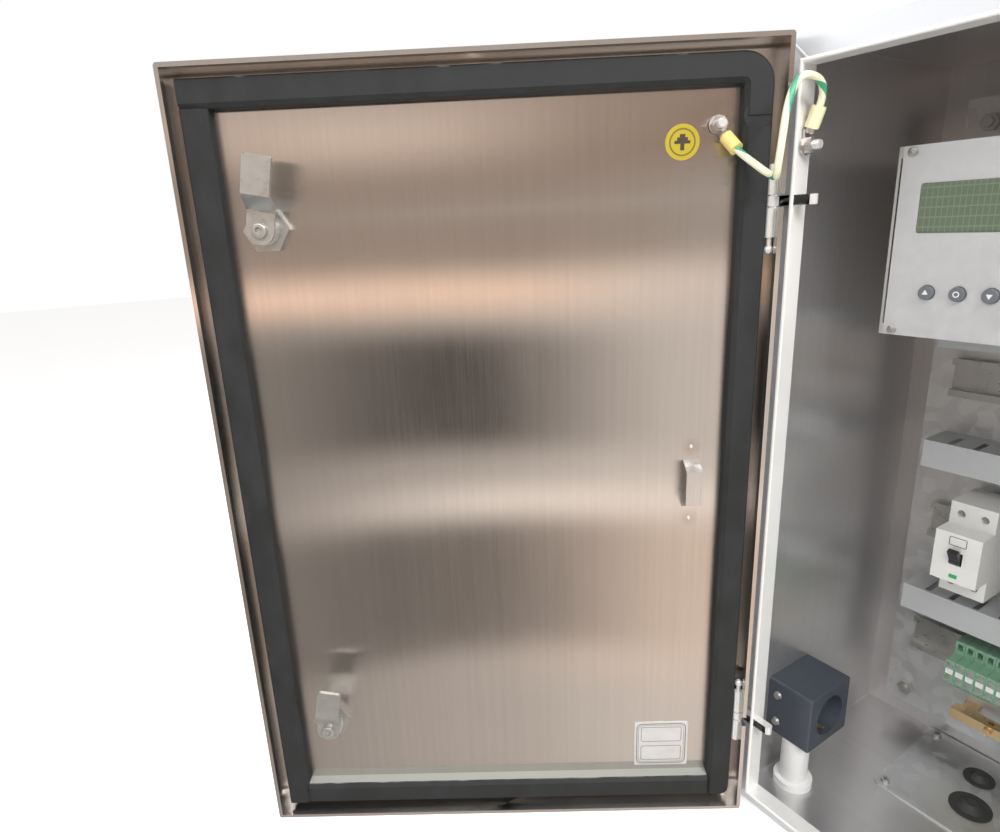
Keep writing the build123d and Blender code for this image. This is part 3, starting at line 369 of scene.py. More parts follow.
# %% Soft and moulded finishes
def sponge_rubber(name, color):
    """Black sponge with pores, a thin bloom, and a painted pale highlight on faces that look up."""
    sponge = Finish(name, color, 0.78, Specular_IOR_Level=0.2, Coat_Weight=0.12, Coat_Roughness=0.4)
    dust_and_sheen = sponge.noise((60, 60, 30), 3.0)
    skin = sponge.blend(sponge.fit(dust_and_sheen, 0.35, 0.75, 0.0, 1.0), color, shade(color, 1.45))
    # Faces that look up are painted pale grey: a painted highlight where light from above falls, mottled by the
    # same noise as the bloom.
    painted_top_light = sponge.fit(sponge.facing("Z") * 0.8 + dust_and_sheen * 0.3, 0.75, 0.9, 0.0, 1.0)
    sponge.set("Base Color", sponge.blend(painted_top_light, skin, (0.40, 0.41, 0.38)))
    sponge.set("Roughness", sponge.fit(dust_and_sheen, 0.3, 0.7, 0.55, 0.8))
    pores = sponge.fit(sponge.cells((1300, 1300, 1300)), 0.05, 0.45, 0.0, 1.0)
    swell = sponge.bump(sponge.noise((26, 26, 26)), 0.0005)
    sponge.set("Normal", sponge.bump(pores, 0.0001, swell))
    return sponge.material


def moulded(name, color, roughness, grain=0.00003, coat=0.0):
    """Moulded plastic with a fine grain and a little handling wear."""
    plastic = Finish(name, color, roughness, 0.0, Coat_Weight=coat, Coat_Roughness=0.12)
    wear = plastic.noise((45, 45, 45), 3.0)
    plastic.set("Roughness", plastic.fit(wear, 0.3, 0.7, roughness - 0.08, roughness + 0.08))
    plastic.set("Base Color", plastic.blend(wear, shade(color, 0.92), color))
    plastic.set("Normal", plastic.bump(plastic.noise((1900, 1900, 1900)), grain))
    return plastic.material


finishes["sponge"] = sponge_rubber("sponge_seal", (0.021, 0.023, 0.023))
finishes["black_rubber"] = moulded("black_rubber", (0.045, 0.045, 0.047), 0.6, 0.00005)
finishes["grey_plastic"] = moulded("duct_grey", (0.50, 0.52, 0.53), 0.5)
finishes["light_plastic"] = moulded("breaker_white", (0.78, 0.78, 0.76), 0.45)
finishes["dark_plastic"] = moulded("outlet_black", (0.055, 0.065, 0.085), 0.42)
finishes["white_plastic"] = moulded("sheath_white", (0.85, 0.85, 0.84), 0.38)
finishes["black_lever"] = moulded("lever_black", (0.03, 0.03, 0.035), 0.35)
finishes["green_plastic"] = moulded("terminal_green", (0.23, 0.42, 0.29), 0.45)
finishes["yellow_plastic"] = moulded("sleeve_yellow", (0.88, 0.70, 0.24), 0.38)
finishes["lead"] = moulded("lead_yellow", (0.90, 0.84, 0.54), 0.34)
finishes["key"] = moulded("key_grey", (0.15, 0.16, 0.18), 0.42)
finishes["yellow_label"] = moulded("sign_yellow", (0.43, 0.33, 0.008), 0.36, 0.00001)
ink = moulded("print_ink", (0.035, 0.032, 0.025), 0.4, 0.00001)
sign_ink = moulded("sign_ink", (0.040, 0.026, 0.008), 0.5, 0.00001)
ring_ink = moulded("ring_ink", (0.15, 0.115, 0.015), 0.4, 0.00001)
lens_red = moulded("lens_red", (0.55, 0.03, 0.02), 0.12, 0.0, 1.0)
lens_amber = moulded("lens_amber", (0.80, 0.38, 0.03), 0.12, 0.0, 1.0)
lens_green = moulded("lens_green", (0.04, 0.42, 0.12), 0.12, 0.0, 1.0)


def foil(name):
    """A silvery self-adhesive label that has creased a little where it was smoothed down."""
    label = Finish(name, (0.66, 0.655, 0.65), 0.42, 0.35)
    creases = label.noise((60, 60, 150), 3.0)
    label.set("Roughness", label.fit(creases, 0.3, 0.7, 0.34, 0.5))
    label.set("Base Color", label.blend(creases, (0.55, 0.545, 0.54), (0.74, 0.735, 0.73)))
    label.set("Normal", label.bump(creases, 0.0003))
    return label.material


finishes["foil_label"] = foil("label_foil")
print("finishes:", sorted(finishes))

# %% [markdown]
# ## Dressing the solids
# The record says which material slot each solid belongs to, so one loop gives every solid its
# finish. The solids' own meshes and places are left alone. The door's panel gets steel of its
# own, because only the panel carries the heat marks of the bracket's welds. The small parts of
# the earth bond are nickel plated, and the cams' screws are zinc plated as the cams are.

# %% Dress the solids
special = {"door_panel": door_steel, "upper_cam_bolt": finishes["zinc"], "lower_cam_bolt": finishes["zinc"]}
for name in ("door_earth_lug", "body_earth_lug", "door_earth_nut", "body_earth_nut"):
    special[name] = plated
for entry in frame["record"]["subparts"]:
    mesh = nodes[entry["node"]].data
    finish = special.get(entry["node"], finishes[entry["material_slot"]])
    if not mesh.materials:
        mesh.materials.append(finish)
    for index in range(len(mesh.materials)):
        mesh.materials[index] = finish

# %% [markdown]
# ## Tools for new pieces
# Blender's operators act on whatever is selected, and the frame arrives selected. So each new
# piece starts with everything deselected. It is modelled lying flat at the origin, where sizes
# are easy to read, and is then put in its place by moving its mesh, not its object: the object
# itself stays at the origin, as a solid's does.

# %% Modelling helpers
def fresh_start():
    """Leaves object mode clean: nothing active, nothing selected."""
    if bpy.context.object and bpy.context.object.mode != "OBJECT":
        bpy.ops.object.mode_set(mode="OBJECT")
    bpy.ops.object.select_all(action="DESELECT")


def edit_all():
    """Goes to edit mode with the whole active mesh selected."""
    bpy.ops.object.mode_set(mode="EDIT")
    bpy.ops.mesh.select_all(action="SELECT")


def select_faces(test):
    """In edit mode, selects just the faces whose middle and normal pass a test."""
    bpy.ops.mesh.select_mode(type="FACE")
    bpy.ops.mesh.select_all(action="DESELECT")
    mesh = bmesh.from_edit_mesh(bpy.context.object.data)
    for face in mesh.faces:
        if test(face.calc_center_median(), face.normal):
            face.select_set(True)
    bmesh.update_edit_mesh(bpy.context.object.data)


def apply_modifier(kind, **settings):
    """Adds a modifier to the active piece and applies it at once."""
    modifier = bpy.context.object.modifiers.new(kind.lower(), kind)
    for name, value in settings.items():
        setattr(modifier, name, value)
    bpy.ops.object.modifier_apply(modifier=modifier.name)


def stand(place, axis, side=None):
    """The matrix that stands a piece, modelled along +Z at the origin, at a place along an axis."""
    z = Vector(axis).normalized()
    x = Vector(side) if side is not None else z.orthogonal()
    x = (x - z * x.dot(z)).normalized()
    y = z.cross(x)
    return Matrix.Translation(place) @ Matrix((x, y, z)).transposed().to_4x4()


def settle(name, body, finish, places):
    """Finishes the active piece: one copy of it at each place, joined, dressed and riding."""
    if bpy.context.object.mode != "OBJECT":
        bpy.ops.object.mode_set(mode="OBJECT")
    piece = bpy.context.object
    piece.name = name
    bpy.ops.object.transform_apply(location=True, rotation=True, scale=True)
    piece.data.materials.clear()
    piece.data.materials.append(finish)
    for place in places[1:]:
        twin = bpy.data.objects.new(name, piece.data.copy())
        twin.data.transform(place)
        bpy.context.scene.collection.objects.link(twin)
        twin.select_set(True)
    piece.data.transform(places[0])
    if len(places) > 1:
        bpy.ops.object.join()
    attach(piece, body)


# %% [markdown]
# ## Screw threads
# The lock barrels and the earth studs are threaded, and the thread is what the eye looks for
# between a nut and the end of a stud. The solids leave it out. A small diamond is set at the
# thread's radius and the Screw modifier carries it round and up, one turn for each pitch. Half
# of the ridge lies inside the stud, so no gap can show at its foot.

# %% Threads
def thread(name, radius, pitch, turns, depth, body, slot, places):
    """A helical ridge round a stud; it starts at the place and climbs along its axis."""
    fresh_start()
    bpy.ops.mesh.primitive_circle_add(
        vertices=4, radius=depth, fill_type="NOTHING", location=(radius, 0, 0), rotation=(math.pi / 2, 0, 0)
    )
    bpy.ops.object.transform_apply(location=True, rotation=True, scale=True)
    apply_modifier("SCREW", screw_offset=pitch, iterations=turns, steps=28, render_steps=28)
    edit_all()
    bpy.ops.mesh.fill_holes(sides=4)
    bpy.ops.mesh.select_all(action="SELECT")
    bpy.ops.mesh.normals_make_consistent(inside=False)
    settle(name, body, finishes[slot], places)


lock_u = -0.1615
lock_levels = (0.2135, -0.2305)
barrel_places = [stand(on_door(lock_u, level, 0.0058), inward) for level in lock_levels]
thread("lock_barrel_threads", 0.0105, 0.00126, 6, 0.00055, "door", "cast", barrel_places)
door_stud = [stand(on_door(0.1747, 0.2730, 0.0079), inward)]
thread("door_stud_thread", 0.0029, 0.0008, 7, 0.00036, "door", "bright", door_stud)
into_box = Vector((1, 0, 0))
body_stud = [stand(Vector((-0.1985, -0.1202, 0.5820)) + into_box * 0.0078, into_box)]
thread("body_stud_thread", 0.0029, 0.0008, 6, 0.00036, "cabinet", "bright", body_stud)
print("threads cut: 4")

# %% [markdown]
# ## Weld beads
# The shoulder round the box's mouth is welded at its four mitred corners, and the hinge
# knuckles are welded along the rim; the small bracket is held by one spot above and one below.
# A bead of weld is a row of small overlapping puddles. One puddle is a flattened ball with its
# lower half cut away by Bisect, and the Array modifier lays the row.

# %% Weld beads
def weld_bead(name, width, height, count, body, slot, places):
    """A row of weld puddles along +X, flat side down."""
    fresh_start()
    bpy.ops.mesh.primitive_uv_sphere_add(segments=12, ring_count=8, radius=width / 2, location=(0, 0, 0))
    bpy.context.object.scale = (0.9, 1, 2 * height / width)
    bpy.ops.object.transform_apply(location=True, rotation=True, scale=True)
    edit_all()
    bpy.ops.mesh.bisect(plane_co=(0, 0, -height * 0.3), plane_no=(0, 0, 1), clear_inner=True, use_fill=True)
    bpy.ops.object.mode_set(mode="OBJECT")
    apply_modifier(
        "ARRAY", count=count, use_relative_offset=False, use_constant_offset=True,
        constant_offset_displace=(width * 0.38, 0, 0),
    )
    bpy.ops.object.shade_smooth()
    settle(name, body, finishes[slot], places)


corner_places = []
for right in (1, -1):
    for top in (1, -1):
        corner = in_box(right * 0.2180, top * 0.3265, 0.023)
        mitre = in_box(right * 0.2015, top * 0.3100, 0.023) - corner
        corner_places.append(stand(corner, out_of_mouth, mitre))
weld_bead("mouth_corner_welds", 0.0026, 0.0004, 22, "cabinet", "box_steel", corner_places)
knuckle_places = []
for level in (0.2185, -0.2295):
    for start in (level + 0.0055, level - 0.0245):
        knuckle_places.append(stand(on_door(0.2166, start, 0.0126), inward - across, up))
weld_bead("knuckle_welds", 0.0018, 0.0007, 28, "door", "bright", knuckle_places)
spot_places = [stand(spot, inward) for spot in bracket_spots]
weld_bead("bracket_weld_spots", 0.0034, 0.0007, 1, "door", "bright", spot_places)
print("weld beads laid:", len(corner_places) + len(knuckle_places) + len(spot_places))

# %% [markdown]
# ## The earth lead
# A short yellow and green lead carries the door's earth bond to the cabinet. Its line is one
# smooth NURBS curve through the air: out of the door's sleeve, down into a loop, up and over
# into the cabinet's sleeve. The curve gives the path, and a round tube is swept along it as a
# mesh.

# %% Earth lead
lead_diameter = 0.005
lead_corners = [
    (-0.22643, -0.15638, 0.58231),
    (-0.22351, -0.15645, 0.57958),
    (-0.20182, -0.14500, 0.56030),
    (-0.18706, -0.16425, 0.56300),
    (-0.18475, -0.15904, 0.62500),
    (-0.18324, -0.12020, 0.62148),
    (-0.18871, -0.12020, 0.60644),
]


def smooth_route(name, corners):
    """A NURBS curve on a list of corners."""
    curve = bpy.data.curves.new(name, "CURVE")
    curve.dimensions = "3D"
    curve.resolution_u = 16
    spline = curve.splines.new("NURBS")
    spline.points.add(len(corners) - 1)
    for point, corner in zip(spline.points, corners):
        point.co = (*corner, 1)
    spline.order_u = 3
    spline.use_endpoint_u = True
    route = bpy.data.objects.new(name, curve)
    bpy.context.scene.collection.objects.link(route)
    return route


def route_points(route):
    """The points of a curve, as Blender itself works them out."""
    bpy.context.view_layer.update()
    line = bpy.data.meshes.new_from_object(route)
    points = [vertex.co.copy() for vertex in line.vertices]
    bpy.data.meshes.remove(line)
    return points


lead_route = smooth_route("lead_route", lead_corners)
lead_line = route_points(lead_route)
fresh_start()
lead_route.select_set(True)
bpy.context.view_layer.objects.active = lead_route
lead_route.data.bevel_depth = lead_diameter / 2
lead_route.data.bevel_resolution = 4
lead_route.data.use_fill_caps = True
bpy.ops.object.convert(target="MESH")
lead_tube = bpy.context.object
lead_tube.name = "earth_lead_tube"

# %% [markdown]
# The insulation is pale yellow with a green stripe that winds slowly round it. An attribute on
# the tube paints it: the cosine of how far round the lead each point lies, turned further as
# the lead goes on. A cosine has no jump in it, so it blends cleanly from point to point.

# %% Lead finish
stripe_turn, stripe_start = 0.05, 0.7
around = lead_tube.data.attributes.new("around", "FLOAT", "POINT")
run = [0.0]
for a, b in zip(lead_line, lead_line[1:]):
    run.append(run[-1] + (b - a).length)
for vertex in lead_tube.data.vertices:
    nearest = min(range(len(lead_line)), key=lambda i: (lead_line[i] - vertex.co).length_squared)
    ahead = lead_line[min(nearest + 1, len(lead_line) - 1)] - lead_line[max(nearest - 1, 0)]
    side = ahead.cross(up)
    side.normalize()
    out = vertex.co - lead_line[nearest]
    angle = math.atan2(out.dot(side), out.dot(side.cross(ahead.normalized())))
    turned = angle + run[nearest] * math.tau / stripe_turn - stripe_start
    around.data[vertex.index].value = math.cos(turned)
cream = (0.90, 0.86, 0.62)
striped = Finish("lead_yellow_green", cream, 0.34)
turn_round = striped.node("ShaderNodeAttribute", {"attribute_name": "around"}, {}, "Fac")
stripe = striped.fit(turn_round, 0.58, 0.66, 0.0, 1.0)
striped.set("Base Color", striped.blend(stripe, cream, (0.06, 0.38, 0.22)))
striped.set("Normal", striped.bump(striped.noise((900, 900, 900)), 0.00003))
lead_tube.data.materials.clear()
lead_tube.data.materials.append(striped.material)
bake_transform(lead_tube)
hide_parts("earth_lead")

# %% [markdown]
# ## Printed marks
# A yellow disc beside the stud carries the usual earth sign, stuck on upside down: a ring, an
# upright stroke and three bars that get shorter. Print lies on top of the disc, so each mark is
# a very thin raised shape. A ring is a circle whose face is inset and whose middle is deleted,
# and a frame is made from a rectangle in the same way.

# %% Print helpers
print_height = 0.00008


def lift_print(height=print_height):
    """Gives the flat active mesh the thickness of print and closes it."""
    bpy.ops.mesh.select_all(action="SELECT")
    bpy.ops.mesh.extrude_region_move(TRANSFORM_OT_translate={"value": (0, 0, height)})
    bpy.ops.mesh.select_all(action="SELECT")
    bpy.ops.mesh.normals_make_consistent(inside=False)


def flat_card(width, height, corner, middle=(0, 0)):
    """Starts a flat rectangle with rounded corners, left in edit mode."""
    fresh_start()
    bpy.ops.mesh.primitive_plane_add(size=1, location=(middle[0], middle[1], 0))
    bpy.context.object.scale = (width, height, 1)
    bpy.ops.object.transform_apply(location=True, rotation=True, scale=True)
    edit_all()
    bpy.ops.mesh.bevel(offset=corner, segments=4, affect="VERTICES")


def printed_ring(name, outer, width, body, finish, places, sides=48):
    """A flat ring of print."""
    fresh_start()
    bpy.ops.mesh.primitive_circle_add(vertices=sides, radius=outer, fill_type="NGON", location=(0, 0, 0))
    edit_all()
    bpy.ops.mesh.inset(thickness=width, depth=0)
    bpy.ops.mesh.delete(type="FACE")
    lift_print()
    settle(name, body, finish, places)


def printed_frame(name, width, height, line, body, finish, places):
    """A flat rectangular line of print."""
    flat_card(width, height, min(width, height) * 0.12)
    bpy.ops.mesh.select_all(action="SELECT")
    bpy.ops.mesh.inset(thickness=line, depth=0)
    bpy.ops.mesh.delete(type="FACE")
    lift_print()
    settle(name, body, finish, places)


def printed_bar(name, width, height, middle, body, finish, places):
    """A flat bar of print with its corners eased."""
    flat_card(width, height, min(width, height) * 0.15, middle)
    lift_print()
    settle(name, body, finish, places)


# %% [markdown]
# The label near the panel's lower corner on the hinge side is a plain silvery foil. It stays
# generic, with a double frame and two empty fields.

# %% Sign and label
sign_place = [stand(on_door(0.150, 0.2625, 0.0004), inward, across)]
printed_ring("earth_sign_ring", 0.0096, 0.0011, "door", ring_ink, sign_place)
printed_bar("earth_sign_stem", 0.0029, 0.0045, (0, -0.00335), "door", sign_ink, sign_place)
for index, (bar_width, bar_rise) in enumerate(((0.0116, 0.0), (0.0078, 0.0022), (0.0040, 0.0044))):
    name = "earth_sign_bar_%d" % (index + 1)
    printed_bar(name, bar_width, 0.0022, (0, bar_rise), "door", sign_ink, sign_place)
label_u, label_v, foil_top = 0.1478, -0.269, 0.0004
label_place = [stand(on_door(label_u, label_v, foil_top), inward, across)]
label_ink = moulded("label_ink", (0.20, 0.195, 0.185), 0.45, 0.00001)
printed_frame("label_outer_frame", 0.0465, 0.0455, 0.0009, "door", label_ink, label_place)
printed_frame("label_inner_frame", 0.0430, 0.0420, 0.0004, "door", label_ink, label_place)
for index, rise in enumerate((0.0105, -0.0105)):
    field = [stand(on_door(label_u, label_v + rise, foil_top), inward, across)]
    name = "label_field_%d" % (index + 1)
    printed_frame(name, 0.0380, 0.0165, 0.0006, "door", label_ink, field)
print("earth sign and label printed")

# %% [markdown]
# ## Lamps, screen and keys of the controller
# Each driver card shows the state of its signal group with small lenses: red, amber, green and
# a clear one. A lens is half a ball, pressed flat, in glossy coloured plastic, and stands in a
# thin ring.

# %% Lenses
card_centres = {
    "power": -0.1360, "driver_3": -0.0890, "driver_2": -0.0449, "driver_1": -0.0008, "monitor": 0.0433,
}
processor_centre = 0.1132
rack_level = 0.18497


def lens(name, finish, places):
    """A low dome of plastic in the finish it is given."""
    fresh_start()
    bpy.ops.mesh.primitive_uv_sphere_add(segments=20, ring_count=12, radius=0.0021, location=(0, 0, 0))
    bpy.context.object.scale = (1, 1, 0.62)
    bpy.ops.object.transform_apply(location=True, rotation=True, scale=True)
    edit_all()
    bpy.ops.mesh.bisect(plane_co=(0, 0, 0), plane_no=(0, 0, 1), clear_inner=True, use_fill=True)
    bpy.ops.object.mode_set(mode="OBJECT")
    bpy.ops.object.shade_smooth_by_angle(angle=math.radians(40))
    settle(name, "cabinet", finish, places)


lens_clear = moulded("lens_clear", (0.72, 0.74, 0.72), 0.12, 0.0, 1.0)
lens_rows = (
    ("red", 0.0135, lens_red), ("amber", 0.0045, lens_amber), ("green", -0.0045, lens_green),
    ("clear", -0.0135, lens_clear),
)
lens_spots = []
for color_name, rise, finish in lens_rows:
    row = [in_box(centre, rack_level + 0.030 + rise, 0.081) for centre in card_centres.values()]
    lens("lenses_" + color_name, finish, [stand(spot, out_of_mouth, up) for spot in row])
    lens_spots += row
fresh_start()
bpy.ops.mesh.primitive_torus_add(
    major_segments=24, minor_segments=8, major_radius=0.0026, minor_radius=0.0005, location=(0, 0, 0)
)
bpy.context.object.scale = (1, 1, 0.8)
bpy.ops.object.shade_smooth()
seats = [stand(spot + Vector((0, 0.001, 0)), out_of_mouth) for spot in lens_spots]
settle("lens_seats", "cabinet", finishes["black_lever"], seats)
print("lenses set:", len(lens_spots))

# %% [markdown]
# The processor card has a character display behind glass. The glass is a thin slab with rounded
# corners and a bevelled rim. The faint blocks of its empty character cells come from the
# fractions of the slab's own coordinates, which repeat every cell.

# %% Screen
screen_middle = in_box(processor_centre, rack_level + 0.024, 0.083)


def display_glass(name, middle):
    """Dark green display glass with faint character cells."""
    glass = Finish(name, (0.11, 0.15, 0.10), 0.16, 0.0, Coat_Weight=1.0, Coat_Roughness=0.03)
    own = glass.place(start=tuple(-value for value in middle))
    steps = []
    for axis, cell, gap in (("X", 0.0036, 0.16), ("Z", 0.0066, 0.14)):
        along = glass.part(own, axis) * (1 / cell)
        steps.append(glass.node("ShaderNodeMath", {"operation": "FRACT"}, {0: along}) > gap)
    glass.set("Base Color", glass.blend(steps[0] * steps[1], (0.17, 0.22, 0.13), (0.11, 0.15, 0.095)))
    return glass.material


flat_card(0.0655, 0.0335, 0.0018)
lift_print(0.0008)
select_faces(lambda middle, normal: normal.z > 0.9)
bpy.ops.mesh.inset(thickness=0.0012, depth=0)
bpy.ops.transform.translate(value=(0, 0, 0.0002))
glass_finish = display_glass("display_glass", screen_middle)
settle("screen_glass", "cabinet", glass_finish, [stand(screen_middle, out_of_mouth, into_box)])
print("screen at", [round(value, 3) for value in screen_middle])

# %% [markdown]
# The three keys under the screen move in and out by themselves, so the mark on each key rides on
# that key and not on the cabinet. The marks are plain: up, enter, down.

# %% Key marks
def printed_triangle(name, radius, body, finish, places):
    """A flat triangle of print that points along +Y."""
    fresh_start()
    bpy.ops.mesh.primitive_circle_add(vertices=3, radius=radius, fill_type="NGON", location=(0, 0, 0))
    edit_all()
    bpy.ops.mesh.bevel(offset=radius * 0.12, segments=3, affect="VERTICES")
    lift_print()
    settle(name, body, finish, places)


key_mark = finishes["white_plastic"]
key_pitch = 0.020
for index, heading in enumerate((up, None, -up)):
    body = "key_%d" % (index + 1)
    spot = in_box(processor_centre + key_pitch * (1 - index), rack_level - 0.034, 0.079)
    name = "key_mark_%d" % (index + 1)
    if heading is None:
        place = [stand(spot, out_of_mouth)]
        printed_ring(name, 0.0021, 0.0007, body, key_mark, place, 24)
    else:
        place = [stand(spot, out_of_mouth, heading.cross(out_of_mouth))]
        printed_triangle(name, 0.0023, body, key_mark, place)
print("keys marked: 3")

# %% [markdown]
# ## Slotted screws
# Card fronts, terminals, breakers and the earth bar are all closed with slotted screws, so one
# recipe serves them in their sizes. A cylinder's top face is inset and raised a little for the
# crown. Two bisect cuts mark the slot, and the strip between them is extruded downwards.

# %% Screws
def slotted_screws(name, radius, height, finish, places):
    """Slotted screw heads, standing on their places along +Z."""
    fresh_start()
    bpy.ops.mesh.primitive_cylinder_add(
        vertices=20, radius=radius, depth=height, location=(0, 0, height / 2)
    )
    edit_all()
    select_faces(lambda middle, normal: normal.z > 0.9)
    bpy.ops.mesh.inset(thickness=radius * 0.16, depth=0)
    bpy.ops.transform.translate(value=(0, 0, height * 0.16))
    for offset in (-0.15, 0.15):
        bpy.ops.mesh.select_all(action="SELECT")
        bpy.ops.mesh.bisect(plane_co=(radius * offset, 0, 0), plane_no=(1, 0, 0))
    select_faces(lambda middle, normal: normal.z > 0.9 and abs(middle.x) < radius * 0.14)
    bpy.ops.mesh.extrude_region_move(TRANSFORM_OT_translate={"value": (0, 0, -height * 0.5)})
    bpy.ops.mesh.select_all(action="SELECT")
    bpy.ops.mesh.normals_make_consistent(inside=False)
    bpy.ops.object.mode_set(mode="OBJECT")
    bpy.ops.object.shade_smooth_by_angle(angle=math.radians(35))
    settle(name, "cabinet", finish, places)


card_width = {"power": 0.0499, "cpu": 0.0956}
card_centres["cpu"] = processor_centre
slant = Vector((1, 0, 0.6))
rack_screws = []
for card, centre in card_centres.items():
    reach = (card_width.get(card, 0.0441) - 0.014) / 2
    for side in (-reach, reach):
        for rise in (0.06217, -0.06217):
            rack_screws.append(stand(in_box(centre + side, rack_level + rise, 0.082), out_of_mouth, slant))
slotted_screws("rack_thumbscrews", 0.0031, 0.0021, finishes["zinc"], rack_screws)

terminal_level = -0.20532
terminal_row, terminal_pitch = 0.00785, 0.0082
terminal_us = [terminal_row + terminal_pitch * (index - 13.5) for index in range(28)]
terminal_screws = [
    stand(in_box(u, terminal_level + rise, 0.189), out_of_mouth, up)
    for u in terminal_us for rise in (0.0066, -0.0066)
]
slotted_screws("terminal_screws", 0.0027, 0.0006, finishes["zinc"], terminal_screws)

breaker_level = -0.08024
breaker_screws = [
    stand(in_box(u, breaker_level + rise, 0.188), out_of_mouth, slant)
    for u in (0.10898, 0.12698, 0.05984) for rise in (0.0325, -0.0325)
]
slotted_screws("breaker_screws", 0.0029, 0.0016, finishes["zinc"], breaker_screws)

supply_centre, supply_pitch = -0.05984, 0.0065
supply_screws = []
for rise, count in ((-0.04353, 7), (0.04353, 5)):
    for index in range(count):
        u = supply_centre + supply_pitch * (index - (count - 1) / 2)
        supply_screws.append(stand(in_box(u, breaker_level + rise, 0.140), out_of_mouth, slant))
slotted_screws("supply_screws", 0.0025, 0.0022, finishes["zinc"], supply_screws)

bar_level, bar_pitch = -0.26196, 0.0160
bar_us = [bar_pitch * (index - 5.5) for index in range(12)]
bar_screws = [stand(in_box(u, bar_level, 0.208), out_of_mouth, slant) for u in bar_us]
slotted_screws("earth_bar_screws", 0.0036, 0.0008, finishes["copper"], bar_screws)
print("screws:", len(rack_screws + terminal_screws + breaker_screws + supply_screws + bar_screws))

# %% [markdown]
# ## Marks on the devices
# Terminals carry clip-on tags, here left blank. Each breaker has a small window that shows its
# state and an empty printed field. A tag starts as a rounded rectangle; its top is inset and
# sunk, so light catches its rim.

# %% Device marks
flat_card(0.0060, 0.0048, 0.0005)
lift_print(0.0007)
select_faces(lambda middle, normal: normal.z > 0.9)
bpy.ops.mesh.inset(thickness=0.0005, depth=-0.0002)
tags = [stand(in_box(u, terminal_level, 0.189), out_of_mouth, into_box) for u in terminal_us]
settle("terminal_tags", "cabinet", finishes["white_plastic"], tags)

flat_card(0.0062, 0.0034, 0.0006)
lift_print(0.0004)
breaker_us = (0.11798, 0.05984)
windows = [stand(in_box(u, breaker_level - 0.0165, 0.161), out_of_mouth, into_box) for u in breaker_us]
settle("breaker_windows", "cabinet", lens_green, windows)
fields = [stand(in_box(u, breaker_level + 0.0155, 0.161), out_of_mouth, into_box) for u in breaker_us]
printed_frame("breaker_fields", 0.0135, 0.0080, 0.0005, "cabinet", ink, fields)
print("tags:", len(tags))

# %% [markdown]
# ## Inside the service outlet
# The outlet's well holds two contact sleeves and, above and below, the sprung earth clips. A
# clip is a strip that is folded in edit mode: a thin block whose end face is extruded twice,
# first straight and then leaning inwards.

# %% Outlet contacts
outlet_floor = Vector((-0.1875, -0.0470, 0.0830))
sleeves = [stand(outlet_floor + Vector((0, side, 0)), into_box) for side in (-0.0095, 0.0095)]
printed_ring("outlet_sleeves", 0.0033, 0.0009, "cabinet", finishes["copper"], sleeves, 32)
fresh_start()
bpy.ops.mesh.primitive_cube_add(size=1, location=(0, 0, 0))
bpy.context.object.scale = (0.005, 0.0010, 0.002)
bpy.ops.object.transform_apply(location=True, rotation=True, scale=True)
edit_all()
select_faces(lambda middle, normal: normal.z > 0.9)
bpy.ops.mesh.extrude_region_move(TRANSFORM_OT_translate={"value": (0, 0, 0.005)})
bpy.ops.mesh.extrude_region_move(TRANSFORM_OT_translate={"value": (0, -0.0018, 0.004)})
bpy.ops.object.mode_set(mode="OBJECT")
apply_modifier("BEVEL", width=0.0003, segments=2, limit_method="ANGLE")
clips = [stand(outlet_floor + up * 0.0185 * way, into_box, (0, way, 0)) for way in (1, -1)]
settle("outlet_earth_clips", "cabinet", finishes["copper"], clips)
print("outlet contacts at", [round(value, 3) for value in outlet_floor])

# %% [markdown]
# ## Light and floor
# The floor and the world are plain and pale. Their white is only for rays that come from the
# camera, a reflection or glass, so it puts no extra light on the cabinet. Three soft boxes give
# the cabinet its shape: one in front, one at the left and one at the right that looks into the box.

# %% World and lamps
world = bpy.data.worlds.new("studio")
bpy.context.scene.world = world
world.use_nodes = True
studio = NodeMaker(world.node_tree)
sky = studio.node("ShaderNodeBackground", {}, {"Color": (1.0, 0.985, 0.97, 1), "Strength": 0.62})
backdrop = studio.node("ShaderNodeBackground", {}, {"Color": (1, 1, 1, 1), "Strength": 1.0})
seen = 0
for kind in ("Is Camera Ray", "Is Glossy Ray", "Is Transmission Ray"):
    seen = studio.node("ShaderNodeLightPath", {}, {}, kind) + seen
chosen = studio.node("ShaderNodeMixShader", {}, {0: seen, 1: sky, 2: backdrop})
studio.feed(studio.nodes["World Output"].inputs["Surface"], chosen)


def soft_lamp(name, place, target, size, power, color):
    """A square soft box that looks at a place."""
    lamp_data = bpy.data.lights.new(name, "AREA")
    lamp_data.shape = "SQUARE"
    lamp_data.size = size
    lamp_data.energy = power
    lamp_data.color = color
    lamp = bpy.data.objects.new(name, lamp_data)
    lamp.location = place
    lamp.rotation_euler = (Vector(target) - Vector(place)).to_track_quat("-Z", "Y").to_euler()
    bpy.context.scene.collection.objects.link(lamp)


soft_lamp("key_lamp", (0.9, -1.5, 2.1), (-0.2, -0.2, 0.35), 1.2, 26, (1.0, 0.98, 0.95))
soft_lamp("fill_lamp", (-1.6, -1.2, 1.5), (-0.1, 0.0, 0.3), 1.4, 12, (0.97, 0.98, 1.0))
soft_lamp("box_lamp", (1.5, -0.5, 1.7), (-0.21, -0.1, 0.33), 0.7, 30, (1.0, 1.0, 1.0))

# %% [markdown]
# The floor is one wide sheet under the cabinet. A little white is added to it for the camera
# alone, so it meets the white background without an edge and still shows the soft shadow.

